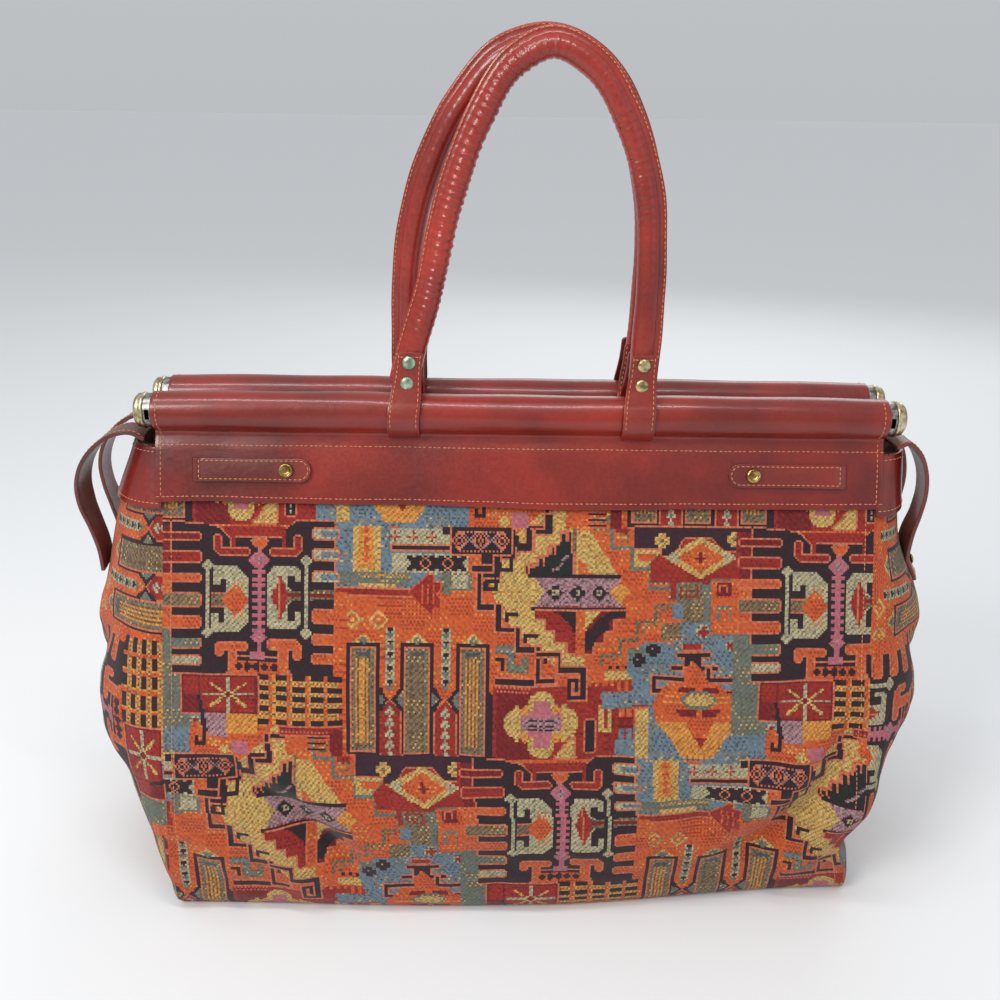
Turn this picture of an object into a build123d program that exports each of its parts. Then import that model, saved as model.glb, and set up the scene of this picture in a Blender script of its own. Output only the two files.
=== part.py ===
# A stand-up tapestry carpet bag on two leather-covered bars, with two rolled leather handles.
# Millimetres. X runs along the bars, -Y is the front, +Z is up, the origin is under the middle of the base.
from build123d import *
from math import atan2, cos, degrees, radians, sin, tan
import os

# --- driving dimensions -------------------------------------------------------------------------
bar_height = 360.0        # bar centre above the ground
bar_spacing = 42.0        # front bar centre to back bar centre
bar_half_length = 265.0   # middle of the bag to the outer face of an end cap
cap_length = 8.0
cap_diameter = 25.0
tube_diameter = 23.6
tube_wall = 1.4
roll_diameter = 28.0      # leather sleeve round the bar
roll_half_length = 252.0
bare_tube = bar_half_length - cap_length - roll_half_length
window_width = 3.0        # notch in the bare tube, just inside each cap
window_height = 7.0

fabric_thickness = 3.0    # tapestry, interlining and lining together
leather_thickness = 3.0
panel_half_length = 248.0
seam_gap = 0.4            # between a side panel and the gusset sewn to it
base_top = 3.0
band_bottom = 300.0       # lower edge of the leather band
band_bottom_y = 44.0      # its outer face there, out from the middle plane
band_top_y = 27.0         # its outer face where it leaves the roll
gusset_top = 336.0
gusset_top_half = 26.3    # half its width there

loop_width = 22.0         # leather loop that holds a handle leg to the bar
loop_thickness = 2.8
loop_clearance = 0.4
loop_x = 80.0
neck_height = 44.0        # bar centre to the top of a loop
grip_diameter = 15.0
flange_width = 5.0        # stitched flange on the outer side of a grip
flange_thickness = 4.0
grip_start = 19.0         # bar centre to the lower end of a grip
handle_lean = 2.7         # degrees that each handle leans in towards the other
rivet_heights = (23.0, 37.0)
rivet_head = 9.0
rivet_head_height = 1.5
rivet_shank = 3.6

tab_slot_x = 225.0
tab_length = 81.0
tab_width = 17.0
tab_height = 322.0        # middle of a tab above the ground
tab_thickness = 2.4
tab_gap = 0.4
snap_from_slot = 64.0
snap_cap_diameter = 10.5
snap_barrel_diameter = 8.0
snap_socket_diameter = 5.8
snap_stud_diameter = 5.0
slot_width = 4.0

strap_width = 22.0
strap_thickness = 2.6
stud_height = 249.0
stud_inside = 297.5
stud_outside = 316.4
stud_shank = 4.0
stud_head = 9.0

board_half_length = 232.0  # it lies loose on the base, and the cloth draws in past its corners
board_half_width = 79.0
board_corner = 22.0
board_thickness = 2.5
gusset_leather_levels = (296.0, 316.0, 336.0)
leather_lift = 2.9        # outer face of the gusset's leather, out from its fabric
gusset_leather_thickness = 2.4

# corners of each grip's middle line, along and up from the bar's centre, from the left leg to the right
front_handle_points = [(-80.0, 21.5), (-78.0, 55.0), (-38.0, 178.0), (0.0, 240.0), (46.0, 240.0),
                       (82.0, 178.0), (88.0, 112.0), (80.0, 21.5)]
back_handle_points = [(-80.0, 21.5), (-88.0, 90.0), (-74.0, 158.0), (-38.0, 222.0), (2.0, 241.0),
                      (44.0, 236.0), (72.0, 186.0), (82.0, 110.0), (80.0, 21.5)]
corner_share = 0.45       # part of the shorter run that a corner's arc takes up

# outer face of a side panel, out from the middle plane, at each height
side_profile = [(106.0, 3.4), (111.5, 30.0), (111.5, 70.0), (103.0, 120.0), (84.0, 180.0), (62.0, 240.0), (38.8, 304.0)]
# how far a gusset stands out past the side panels at each height, in the middle of its width
gusset_bulge = [(3.0, 8.0), (30.0, 27.0), (70.0, 50.0), (120.0, 70.0), (180.0, 74.0), (240.0, 62.0),
                (300.0, 39.0), (336.0, 25.0)]

bar_y = bar_spacing / 2
roll_radius = roll_diameter / 2
band_top = bar_height - roll_radius + 1.2
half_base_depth = side_profile[0][0]


def interpolate(table, height):
    """Straight-line value of a (height, value) table."""
    for (low, a), (high, b) in zip(table, table[1:]):
        if height <= high:
            return a + (b - a) * (height - low) / (high - low)
    return table[-1][1]


def save(node, shape):
    """Write one named piece."""
    export_step(shape, f"parts/{node}.step")


def to_side(shape, side):
    """Front pieces are drawn at -Y; the back ones are their mirror image."""
    return shape if side == "front" else mirror(shape, about=Plane.XZ)


# --- fabric body --------------------------------------------------------------------------------
def fabric_panel():
    """Front side panel: one curved sheet from the base seam up to the inside of the leather band."""
    outer = Spline([(-y, z) for y, z in side_profile])
    inner = Spline([(-y + fabric_thickness, z) for y, z in side_profile])
    top = Line(outer @ 1, inner @ 1)
    bottom = Line(outer @ 0, inner @ 0)
    face = make_face([outer, inner, top, bottom])
    face = Plane.YZ.offset(-panel_half_length) * face
    return extrude(face, amount=2 * panel_half_length)


def side_at(height):
    """Outer face of the side panels at a height; above the panels it follows the leather band."""
    table = [(z, y) for y, z in side_profile] + [(gusset_top, gusset_top_half)]
    return interpolate(table, height)


def gusset_section(height, lift, thickness, end_x):
    """One level of a gusset: a bowed strip between the two side panels, lift outside the fabric."""
    half = side_at(height)
    reach = panel_half_length + interpolate(gusset_bulge, height)
    outer = [(end_x, -half - lift), (reach + lift, 0), (end_x, half + lift)]
    inner_half = half + lift - thickness
    inner = [(end_x, -inner_half), (reach + lift - thickness, 0), (end_x, inner_half)]
    edges = [ThreePointArc(*outer), ThreePointArc(*inner), Line(outer[0], inner[0]), Line(outer[2], inner[2])]
    return Pos(0, 0, height) * make_face(edges)


def gusset(heights, lift, thickness, end_x):
    """Right gusset layer, lofted through its levels."""
    return loft([gusset_section(height, lift, thickness, end_x) for height in heights])


def base_panel():
    """Bottom of the bag: a flat sheet with slightly bowed ends under the gussets."""
    reach = panel_half_length + gusset_bulge[0][1]
    corner_x = panel_half_length + seam_gap
    outline = [
        Line((-corner_x, -half_base_depth), (corner_x, -half_base_depth)),
        ThreePointArc((corner_x, -half_base_depth), (reach, 0), (corner_x, half_base_depth)),
        Line((corner_x, half_base_depth), (-corner_x, half_base_depth)),
        ThreePointArc((-corner_x, half_base_depth), (-reach, 0), (-corner_x, -half_base_depth)),
    ]
    return extrude(make_face(outline), amount=base_top)


# --- leather band, bar and caps -----------------------------------------------------------------
def band_slope():
    """Angle of the band's face from upright, in degrees."""
    return degrees(atan2(band_bottom_y - band_top_y, band_top - band_bottom))


def leather_band(with_tab_slots):
    """Sleeve round the bar and the flat panel stitched under it, cut from one sheet."""
    sleeve = Circle(roll_radius) - Circle(tube_diameter / 2 + 0.1)
    sleeve = Pos(-bar_y, bar_height) * sleeve
    panel = Polygon(
        (-band_bottom_y, band_bottom), (-band_bottom_y + leather_thickness, band_bottom),
        (-band_top_y + leather_thickness, band_top), (-band_top_y, band_top), align=None)
    hollow = Pos(-bar_y, bar_height) * Circle(tube_diameter / 2 + 0.1)
    profile = Plane.YZ.offset(-roll_half_length) * (sleeve + (panel - hollow))
    band = extrude(profile, amount=2 * roll_half_length)
    loop_radius = roll_radius + loop_thickness + loop_clearance + 0.4
    slot_ring = Circle(loop_radius) - Circle(roll_radius + 0.1)
    slot_half = loop_width / 2 + loop_clearance
    for x in (-loop_x, loop_x):
        section = Plane.YZ.offset(x - slot_half) * (Pos(-bar_y, bar_height) * slot_ring)
        band -= extrude(section, amount=2 * slot_half)
    if with_tab_slots:
        for x in (-tab_slot_x, tab_slot_x):
            band -= tab_plane(x) * Box(slot_width, tab_width + 0.8, 4 * leather_thickness)
    return band


def bar_tube():
    """Steel tube with a rectangular notch at the front of each bare end."""
    length = 2 * (bar_half_length - cap_length)
    section = Circle(tube_diameter / 2) - Circle(tube_diameter / 2 - tube_wall)
    tube = extrude(Plane.YZ.offset(-length / 2) * section, amount=length)
    notch_x = roll_half_length + bare_tube / 2
    for x in (-notch_x, notch_x):
        tube -= Pos(x, -tube_diameter / 2, 0) * Box(window_width, 4 * tube_wall, window_height)
    return Pos(0, -bar_y, bar_height) * tube


def end_cap():
    """Right-hand brass cap with a rounded rim and a spigot inside the tube."""
    spigot_radius = tube_diameter / 2 - tube_wall
    inner_face = bar_half_length - cap_length
    cap = extrude(Plane.YZ.offset(inner_face) * Circle(cap_diameter / 2), amount=cap_length)
    cap = fillet(cap.edges().sort_by(Axis.X)[-1], 3.0)
    cap += extrude(Plane.YZ.offset(inner_face - 3) * Circle(spigot_radius), amount=3)
    return Pos(0, -bar_y, bar_height) * cap


# --- handles ------------------------------------------------------------------------------------
def handle_plane():
    """Plane of the front handle: local x along the bar, local y up the leaning handle."""
    lean = radians(handle_lean)
    return Plane(origin=(0, -bar_y, bar_height), x_dir=(1, 0, 0), z_dir=(0, -cos(lean), sin(lean)))


def grip_path(points):
    """Straight runs joined by tangent arcs, each as large as its two runs allow."""
    places = [Vector(*point) for point in points]
    runs = [b - a for a, b in zip(places, places[1:])]
    radii = []
    for before, after in zip(runs, runs[1:]):
        half_turn = radians(before.get_angle(after) / 2)
        radii.append(corner_share * min(before.length, after.length) / tan(half_turn))
    return FilletPolyline(*points, radius=radii)


def grip(points):
    """Round core in a leather skin, with the two edges of the skin stitched as an outer flange."""
    path = grip_path(points)
    start_tangent = path % 0
    section_plane = Plane(origin=path @ 0, x_dir=(start_tangent.Y, -start_tangent.X, 0), z_dir=start_tangent)
    reach = grip_diameter / 2 + flange_width
    section = Circle(grip_diameter / 2) + Pos(-reach / 2, 0) * Rectangle(reach, flange_thickness)
    solid = sweep(section_plane * section, path=path)
    return handle_plane() * solid


def handle_loop(x):
    """Leather loop: a full ring round the roll and two plies that clasp the end of a grip."""
    outer_radius = roll_radius + loop_clearance + loop_thickness
    inner_half = grip_diameter / 2 + 0.1
    outer_half = inner_half + loop_thickness - 0.6
    profile = Circle(outer_radius) + Pos(0, neck_height / 2) * Rectangle(2 * outer_half, neck_height)
    profile -= Circle(roll_radius + loop_clearance)
    pocket = neck_height - grip_start
    profile -= Pos(0, grip_start + pocket / 2) * Rectangle(2 * inner_half, pocket)
    loop = extrude(Plane.YZ.offset(-loop_width / 2) * profile, amount=loop_width)
    return Pos(x, -bar_y, bar_height) * Rot(-handle_lean, 0, 0) * loop


def rivet(x, height, shank_only=False):
    """Double-headed rivet through a loop's two plies and the grip between them."""
    half = grip_diameter / 2 + 0.1 + loop_thickness - 0.6
    body = Cylinder(rivet_shank / 2, 2 * half)
    if not shank_only:
        head = Cylinder(rivet_head / 2, rivet_head_height)
        offset = half + rivet_head_height / 2
        body += Pos(0, 0, offset) * head + Pos(0, 0, -offset) * head
    return handle_plane() * (Pos(x, height, 0) * body)


# --- snap tabs ----------------------------------------------------------------------------------
def tab_plane(x):
    """Plane on the band's outer face at a tab's slot: local y runs up the band, local z outwards."""
    slope = radians(band_slope())
    along = (band_top - tab_height) / (band_top - band_bottom)
    y = -(band_top_y + (band_bottom_y - band_top_y) * along)
    return Plane(origin=(x, y, tab_height), x_dir=(1, 0, 0), z_dir=(0, -cos(slope), sin(slope)))


def tab_outline(inward):
    """Tab seen from the front: square at the slot, round at the snap end."""
    radius = tab_width / 2
    straight = tab_length - radius
    shape = Pos(inward * straight / 2, 0) * Rectangle(straight, tab_width)
    return shape + Pos(inward * straight, 0) * Circle(radius)


def tab(inward):
    """Two-ply leather tab whose root turns down into the slot, with a hole for the snap."""
    body = extrude(Pos(0, 0, tab_gap) * tab_outline(inward), amount=tab_thickness)
    root = Cylinder(slot_width / 2 - 0.1, tab_width, rotation=(90, 0, 0))
    root &= Box(2.4, tab_width, 20)
    root &= Pos(0, 0, 4.0) * Box(20, tab_width, 11.0)
    body += root
    body -= Pos(inward * snap_from_slot, 0) * Cylinder(snap_barrel_diameter / 2, 10)
    return tab_plane(-inward * tab_slot_x) * body


def tab_snap(inward):
    """Snap cap: a dished brass button on a barrel with the socket in its underside."""
    barrel = Pos(0, 0, tab_gap + tab_thickness / 2) * Cylinder(snap_barrel_diameter / 2, tab_thickness)
    button = Pos(0, 0, tab_gap + tab_thickness + 0.8) * Cylinder(snap_cap_diameter / 2, 1.6)
    button = fillet(button.edges().group_by(Axis.Z)[-1], 0.7)
    socket = Pos(0, 0, tab_gap + 0.9) * Cylinder(snap_socket_diameter / 2, 1.8 + 0.01)
    snap = barrel + button - socket
    snap -= Pos(0, 0, tab_gap + tab_thickness + 1.6) * Cylinder(2.6, 1.2)
    return tab_plane(-inward * tab_slot_x) * (Pos(inward * snap_from_slot, 0) * snap)


def tab_stud(inward):
    """Snap stud on the band, under the snap."""
    stud = Pos(0, 0, 0.7) * Cylinder(snap_stud_diameter / 2, 1.4)
    return tab_plane(-inward * tab_slot_x) * (Pos(inward * snap_from_slot, 0) * stud)


# --- end straps ---------------------------------------------------------------------------------
def end_strap():
    """Front strand at the right end: out from under the bar end, down in a bow, onto the gusset."""
    upper = ThreePointArc((256, 342.5), (293, 334), (312, 308))
    middle = TangentArc(upper @ 1, (315, 274), tangent=upper % 1)
    lower = TangentArc(middle @ 1, (311.5, 240), tangent=middle % 1)
    outline = offset(Wire([upper, middle, lower]), strap_thickness, side=Side.LEFT)
    face = Plane.XZ.offset(bar_y - strap_width / 2) * make_face(outline.edges())
    return extrude(face, amount=strap_width)


def strap_stud(shank_only=False):
    """Stud that holds the lower end of a strap to the gusset: a head outside, a washer inside."""
    shank = cylinder_along_x(stud_inside, stud_outside, stud_shank / 2)
    if shank_only:
        return shank
    head = cylinder_along_x(stud_outside, stud_outside + 1.5, stud_head / 2)
    return shank + head + cylinder_along_x(stud_inside - 1.0, stud_inside, stud_head / 2)


def cylinder_along_x(start, end, radius):
    """Cylinder at the front strand's stud, between two places along X."""
    section = Plane.YZ.offset(start) * (Pos(-bar_y, stud_height) * Circle(radius))
    return extrude(section, amount=end - start)


# --- write the pieces ---------------------------------------------------------------------------
os.makedirs("parts", exist_ok=True)

save("base_panel", base_panel())
board_outline = RectangleRounded(2 * board_half_length, 2 * board_half_width, board_corner)
save("base_board", Pos(0, 0, base_top) * extrude(board_outline, amount=board_thickness))

right_gusset = gusset([z for z, bulge in gusset_bulge], 0, fabric_thickness, panel_half_length + seam_gap)
right_gusset_leather = gusset(gusset_leather_levels, leather_lift, gusset_leather_thickness,
                              roll_half_length + seam_gap)
stud_holes = strap_stud(True) + mirror(strap_stud(True), about=Plane.XZ)
right_gusset -= stud_holes
front_strap = end_strap() - stud_holes
studs = Compound([strap_stud(), mirror(strap_stud(), about=Plane.XZ)])
for end in ("left", "right"):
    def to_end(shape):
        return shape if end == "right" else mirror(shape, about=Plane.YZ)
    save(f"{end}_gusset", to_end(right_gusset))
    save(f"{end}_gusset_leather", to_end(right_gusset_leather))
    save(f"{end}_strap_studs", to_end(studs))
    for side in ("front", "back"):
        save(f"{end}_{side}_strap", to_end(to_side(front_strap, side)))

for side, points in (("front", front_handle_points), ("back", back_handle_points)):
    save(f"{side}_fabric_panel", to_side(fabric_panel(), side))
    save(f"{side}_leather_band", to_side(leather_band(side == "front"), side))
    save(f"{side}_bar_tube", to_side(bar_tube(), side))
    save(f"{side}_right_cap", to_side(end_cap(), side))
    save(f"{side}_left_cap", to_side(mirror(end_cap(), about=Plane.YZ), side))
    leg_x = {"left": points[0][0], "right": points[-1][0]}
    holes = [rivet(x, height, True) for x in leg_x.values() for height in rivet_heights]
    save(f"{side}_handle_grip", to_side(grip(points) - holes, side))
    for leg, x in leg_x.items():
        save(f"{side}_handle_{leg}_loop", to_side(handle_loop(x) - holes, side))
    rivets = [rivet(x, height) for x in leg_x.values() for height in rivet_heights]
    save(f"{side}_handle_rivets", to_side(Compound(rivets), side))

for end, inward in (("left", 1), ("right", -1)):
    save(f"{end}_tab", tab(inward))
    save(f"{end}_tab_snap", tab_snap(inward))
save("tab_studs", Compound([tab_stud(1), tab_stud(-1)]))
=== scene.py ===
import math

import bmesh
import bpy
import numpy as np
from mathutils import Matrix, Vector


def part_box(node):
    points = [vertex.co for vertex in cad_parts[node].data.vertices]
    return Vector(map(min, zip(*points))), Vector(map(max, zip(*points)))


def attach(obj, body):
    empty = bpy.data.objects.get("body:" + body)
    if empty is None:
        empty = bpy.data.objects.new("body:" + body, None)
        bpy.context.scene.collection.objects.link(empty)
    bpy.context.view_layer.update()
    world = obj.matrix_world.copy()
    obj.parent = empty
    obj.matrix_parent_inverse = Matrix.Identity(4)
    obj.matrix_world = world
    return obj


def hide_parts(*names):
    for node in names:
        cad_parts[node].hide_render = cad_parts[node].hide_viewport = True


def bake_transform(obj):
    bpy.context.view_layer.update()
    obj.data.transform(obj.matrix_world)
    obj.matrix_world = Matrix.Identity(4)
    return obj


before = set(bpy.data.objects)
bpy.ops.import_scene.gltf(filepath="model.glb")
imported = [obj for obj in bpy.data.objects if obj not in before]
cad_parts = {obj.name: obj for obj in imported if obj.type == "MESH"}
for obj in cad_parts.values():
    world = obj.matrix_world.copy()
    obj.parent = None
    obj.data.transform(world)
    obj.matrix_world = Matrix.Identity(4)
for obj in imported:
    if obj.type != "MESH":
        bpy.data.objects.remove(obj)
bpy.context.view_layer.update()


# ---------------------------------------------------------------- tapestry
# A jacquard tapestry after old kilim motifs, woven in cells of 1.3 mm. The repeat is 312 cells wide
# and 127 deep, and each repeat below is moved sideways by a little over half its width. It is cotton and
# wool yarn in eighteen colours, with a fine diagonal twill and flecks where two yarns are woven together.

cell = 0.0013
repeat_wide, repeat_deep, drop = 312, 127, 162


def dyed(red, green, blue):
    """A yarn's colour, given as display values from 0 to 255, as the linear colour that shaders use."""
    share = np.array([red, green, blue]) / 255
    return np.where(share <= 0.04045, share / 12.92, ((share + 0.055) / 1.055) ** 2.4)


yarn_colours = {
    "plum": (42, 30, 34), "orange": (186, 84, 44), "red": (140, 40, 34), "oxblood": (100, 28, 30),
    "blue": (100, 116, 126), "teal": (96, 106, 98), "straw": (190, 156, 90), "cream": (170, 158, 122),
    "pink": (164, 88, 98), "tan": (120, 100, 74), "aubergine": (54, 32, 42), "edge": (184, 104, 74),
    "mauve": (156, 120, 124), "gold": (194, 136, 62), "pine": (34, 36, 36), "rust": (144, 54, 34),
    "moss": (92, 72, 46), "slate": (64, 72, 80),
}
yarns = list(yarn_colours)
flecked_with = {
    "straw": "moss", "cream": "slate", "tan": "plum", "gold": "rust", "teal": "moss", "mauve": "aubergine",
    "blue": "slate", "pink": "mauve", "orange": "rust", "red": "oxblood", "oxblood": "red",
    "plum": "aubergine", "edge": "red",
}
loom = np.full((repeat_deep, repeat_wide), yarns.index("orange"))
cell_across, cell_down = np.meshgrid(np.arange(-60, 400), np.arange(-30, 170))


def weave(yarn, inside):
    """Puts a yarn in every cell that is inside, and carries what passes an edge over to the next repeat."""
    across, down = cell_across[inside], cell_down[inside]
    step = np.floor_divide(down, repeat_deep)
    loom[down - step * repeat_deep, (across - step * drop) % repeat_wide] = yarns.index(yarn)


def within(corners):
    """The cells whose middle lies inside a straight-sided outline."""
    inside = np.zeros(cell_across.shape, bool)
    across, down = cell_across + 0.5, cell_down + 0.5
    for (x0, y0), (x1, y1) in zip(corners, corners[1:] + corners[:1]):
        if y0 != y1:
            crosses = (down >= min(y0, y1)) & (down < max(y0, y1))
            inside ^= crosses & (across < x0 + (down - y0) * (x1 - x0) / (y1 - y0))
    return inside


def shape(yarn, *corners, edge=None):
    """A straight-sided field, with a thread of another colour just outside it if one is named."""
    inside = within(list(corners))
    if edge:
        wider = inside.copy()
        for shift in ((0, 1), (0, -1), (1, 0), (-1, 0)):
            wider |= np.roll(inside, shift, (0, 1))
        weave(edge, wider)
    weave(yarn, inside)


def block(yarn, left, top, right, bottom, edge=None):
    shape(yarn, (left, top), (right, top), (right, bottom), (left, bottom), edge=edge)


def line(yarn, width, *corners, edge=None):
    """A thread or bar of a given width, run from corner to corner along and across the cloth."""
    for (x0, y0), (x1, y1) in zip(corners, corners[1:]):
        half = width / 2
        if edge:
            block(edge, min(x0, x1) - half - 1, min(y0, y1) - half - 1,
                  max(x0, x1) + half + 1, max(y0, y1) + half + 1)
    for (x0, y0), (x1, y1) in zip(corners, corners[1:]):
        half = width / 2
        block(yarn, min(x0, x1) - half, min(y0, y1) - half, max(x0, x1) + half, max(y0, y1) + half)


def lozenge(yarn, middle, row, half_wide, half_deep, hollow=0.0):
    reach = abs(cell_across + 0.5 - middle) / half_wide + abs(cell_down + 0.5 - row) / half_deep
    weave(yarn, (reach <= 1) & (reach >= hollow))


def disc(yarn, middle, row, half_wide, half_deep):
    weave(yarn, ((cell_across + 0.5 - middle) / half_wide) ** 2
          + ((cell_down + 0.5 - row) / half_deep) ** 2 <= 1)


def plus(yarn, middle, row, arm, half=0.8):
    block(yarn, middle - arm, row - half, middle + arm, row + half)
    block(yarn, middle - half, row - arm, middle + half, row + arm)


def crossed(yarn, middle, row, arm, width=1.0):
    """Two crossed diagonals of single cells."""
    for reach in range(-arm, arm + 1):
        for tilt in (-1, 1):
            block(yarn, middle + reach - width / 2, row + tilt * reach, middle + reach + width / 2,
                  row + tilt * reach + 1)


def dotted(yarn, left, right, row, step=2):
    """A row of single cells, as a yarn shows where it comes up every few threads."""
    for across in range(int(left), int(right), step):
        block(yarn, across, row, across + 1, row + 1)


def stairs(yarn, width, start, rise, run, count, edge=None):
    """A stepped line."""
    across, down = start
    for _ in range(count):
        line(yarn, width, (across, down), (across, down + rise), (across + run, down + rise), edge=edge)
        across, down = across + run, down + rise


def field_of_columns():
    """Slate blue with gold columns, little red crosses and a band of black and cream diamonds."""
    block("blue", 92, 0, 166, 49)
    shape("straw", (100, 0), (122, 0), (122, 14), (118, 14), (118, 40), (104, 40), (104, 16), (100, 16))
    shape("gold", (106, 0), (116, 0), (114, 10), (116, 38), (106, 38), (108, 10))
    for row in range(3, 38, 5):
        lozenge("orange", 111, row, 2.6, 2.4)
        for across in (102, 119):
            block("blue", across - 0.8, row, across + 0.8, row + 2)
    block("mauve", 111, 2, 115, 9)
    shape("gold", (120, 0), (140, 0), (132, 16), (120, 16))
    shape("orange", (121, 0), (131, 0), (128, 6), (129, 17), (123, 17), (124, 6))
    block("red", 125, 8, 128, 10)
    block("cream", 124, 17, 158, 27)
    shape("blue", (134, 17), (142, 6), (158, 3), (158, 12), (150, 17))
    block("straw", 151, 9, 160, 16)
    dotted("tan", 151, 160, 12)
    for middle in (126, 136, 146):
        plus("red", middle + 0.5, 21.5, 3)
        plus("edge", middle + 0.5, 21.5, 1)
    line("plum", 2, (126, 27.5), (158, 27.5), edge="edge")
    block("cream", 125, 30, 166, 40)
    block("teal", 95, 40, 135, 48)
    block("straw", 107, 46, 128, 49)
    dotted("gold", 107, 135, 41)
    dotted("straw", 108, 135, 42)
    block("teal", 152, 40, 168, 51)
    block("cream", 154, 41, 166, 49)
    for middle in (137, 149, 161):
        shape("plum", (middle - 4.5, 31), (middle - 1, 31), (middle, 33.5), (middle + 1, 31),
              (middle + 4.5, 31), (middle + 2, 35), (middle + 4.5, 39), (middle + 1, 39), (middle, 36.5),
              (middle - 1, 39), (middle - 4.5, 39), (middle - 2, 35))
    for middle in (143, 155):
        lozenge("plum", middle, 35, 4.6, 4.6)
        lozenge("edge", middle, 35, 3.8, 3.6, hollow=0.6)
        block("plum", middle - 1.4, 34.5, middle + 1.6, 35.5)


def black_panel():
    """A black panel with a row of cream crosses and diamonds, and the black arms that lead to it."""
    block("plum", 152, 16, 161, 20)
    block("plum", 157, 16, 189, 30, edge="edge")
    for middle in (161, 172.5, 184):
        lozenge("edge", middle, 23, 4.6, 5.2, hollow=0.74)
        lozenge("edge", middle, 23, 2.2, 2.6, hollow=0.5)
    for middle in (166.5, 178.5):
        crossed("mauve", middle, 22.5, 4, width=1.4)
    dotted("edge", 161, 184, 18)
    dotted("edge", 161, 184, 28)
    block("plum", 173, 30, 179, 38)
    block("plum", 168, 36, 179, 39, edge="edge")
    block("orange", 166, -2, 190, 15)
    block("mauve", 176, 0, 187, 5)
    block("pink", 189, 7, 198, 15)
    dotted("straw", 178, 190, 7)
    dotted("straw", 178, 190, 9)
    lozenge("straw", 185, 12, 4, 3)
    line("plum", 1.6, (174, -4), (174, 9), (170, 9), (170, 6))


def straw_diamond():
    """The big stepped diamond: straw twill inside a black staircase with curled hooks."""
    shape("straw", (222, -14), (214, -8), (209, 4), (199, 12), (190, 22), (183, 34), (178, 46), (182, 60),
          (192, 70), (203, 81), (214, 91), (228, 92), (228, 60), (222, 40))
    for start, rise, run, count in (
            ((228, -18), 11, -10, 3), ((208.5, 9), 9, -10, 2), ((189.5, 18), 13, -9, 1),
            ((181.5, 31), 10, -9.5, 1), ((172, 41), 17.5, 10.5, 1), ((182.5, 58.5), 11.5, 10.5, 1),
            ((193, 70), 11.5, 11, 1), ((204, 81), 17, 8, 1)):
        stairs("plum", 2.6, start, rise, run, count, edge="edge")
    for across, down in ((198.5, 17), (189.5, 30.5), (181.5, 41)):
        line("plum", 2, (across, down), (across, down + 8), (across - 6, down + 8), (across - 6, down + 4.5))
    for across, down in ((172, 41), (182.5, 58.5), (193, 70), (204, 81)):
        line("plum", 2, (across + 10, down + 3.5), (across + 4.5, down + 3.5), (across + 4.5, down + 7))
        dotted("edge", across + 3, across + 12, down + 1)
    line("plum", 2.6, (204, 84), (215, 84), (215, 92.5), (228.5, 92.5), (228.5, 107.5), (221, 107.5),
         (221, 98), (225, 98), (225, 103), edge="edge")
    shape("pine", (221, 18), (215, 18), (215, 25), (209, 25), (209, 31), (203, 31), (203, 36), (197, 36),
          (197, 40), (222, 40), edge="edge")
    for left, top in ((214, 18), (208, 25), (202, 31), (197, 36)):
        line("edge", 1, (left + 1.5, top + 5), (left + 1.5, top + 1), (left + 4.5, top + 1),
             (left + 4.5, top + 5))
    for reach in range(9):
        block("mauve", 210 + reach, 38 - reach ** 1.3 * 0.55, 212 + reach, 39 - reach ** 1.3 * 0.55)
    block("mauve", 202, 41, 248, 59)
    shape("straw", (196, 42), (202, 42), (207, 50), (202, 58), (196, 58))
    shape("gold", (242, 50), (248, 44), (253, 50), (248, 57))
    line("plum", 1.6, (199, 40.8), (247, 40.8))
    line("plum", 1.8, (201, 59), (249, 59))
    dotted("red", 204, 246, 57)
    for middle in (212, 224, 236):
        lozenge("plum", middle + 0.5, 50.5, 4.4, 4.6)
        block("cream", middle - 1.4, 48.6, middle + 2.4, 52.4)
        block("plum", middle - 0.4, 49.6, middle + 1.4, 51.4)
        for tilt_across, tilt_down in ((-4, 0), (4, 0), (0, -4), (0, 4)):
            block("plum", middle + tilt_across, 50 + tilt_down, middle + tilt_across + 1, 51 + tilt_down)
    for side in (0, 1):
        mirrored = (lambda across: 452 - across) if side else (lambda across: across)
        outline = [(202, 60), (224, 60), (224, 83), (219, 83), (219, 76), (213, 76), (213, 70), (208, 70),
                   (208, 64), (202, 64)]
        shape("oxblood" if side else "red", *[(mirrored(a), d) for a, d in outline], edge="edge")
    shape("plum", (211, 60), (224, 60), (224, 74), (221, 67), (217, 63))
    shape("plum", (228, 83), (228, 73), (234, 66), (242, 60), (250, 60), (250, 63), (243, 64), (241, 70),
          (236, 73), (233, 80))
    shape("straw", (228, 60), (238, 60), (232, 65), (228, 73))
    for left, top in ((203, 60), (208, 65), (213, 70), (218, 76), (244, 60), (239, 66), (234, 71),
                      (229, 77)):
        line("edge", 0.9, (left + 1, top + 4.5), (left + 1, top + 1), (left + 4, top + 1),
             (left + 4, top + 4.5))
    block("orange", 224, 60, 228, 84, edge="edge")


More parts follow.
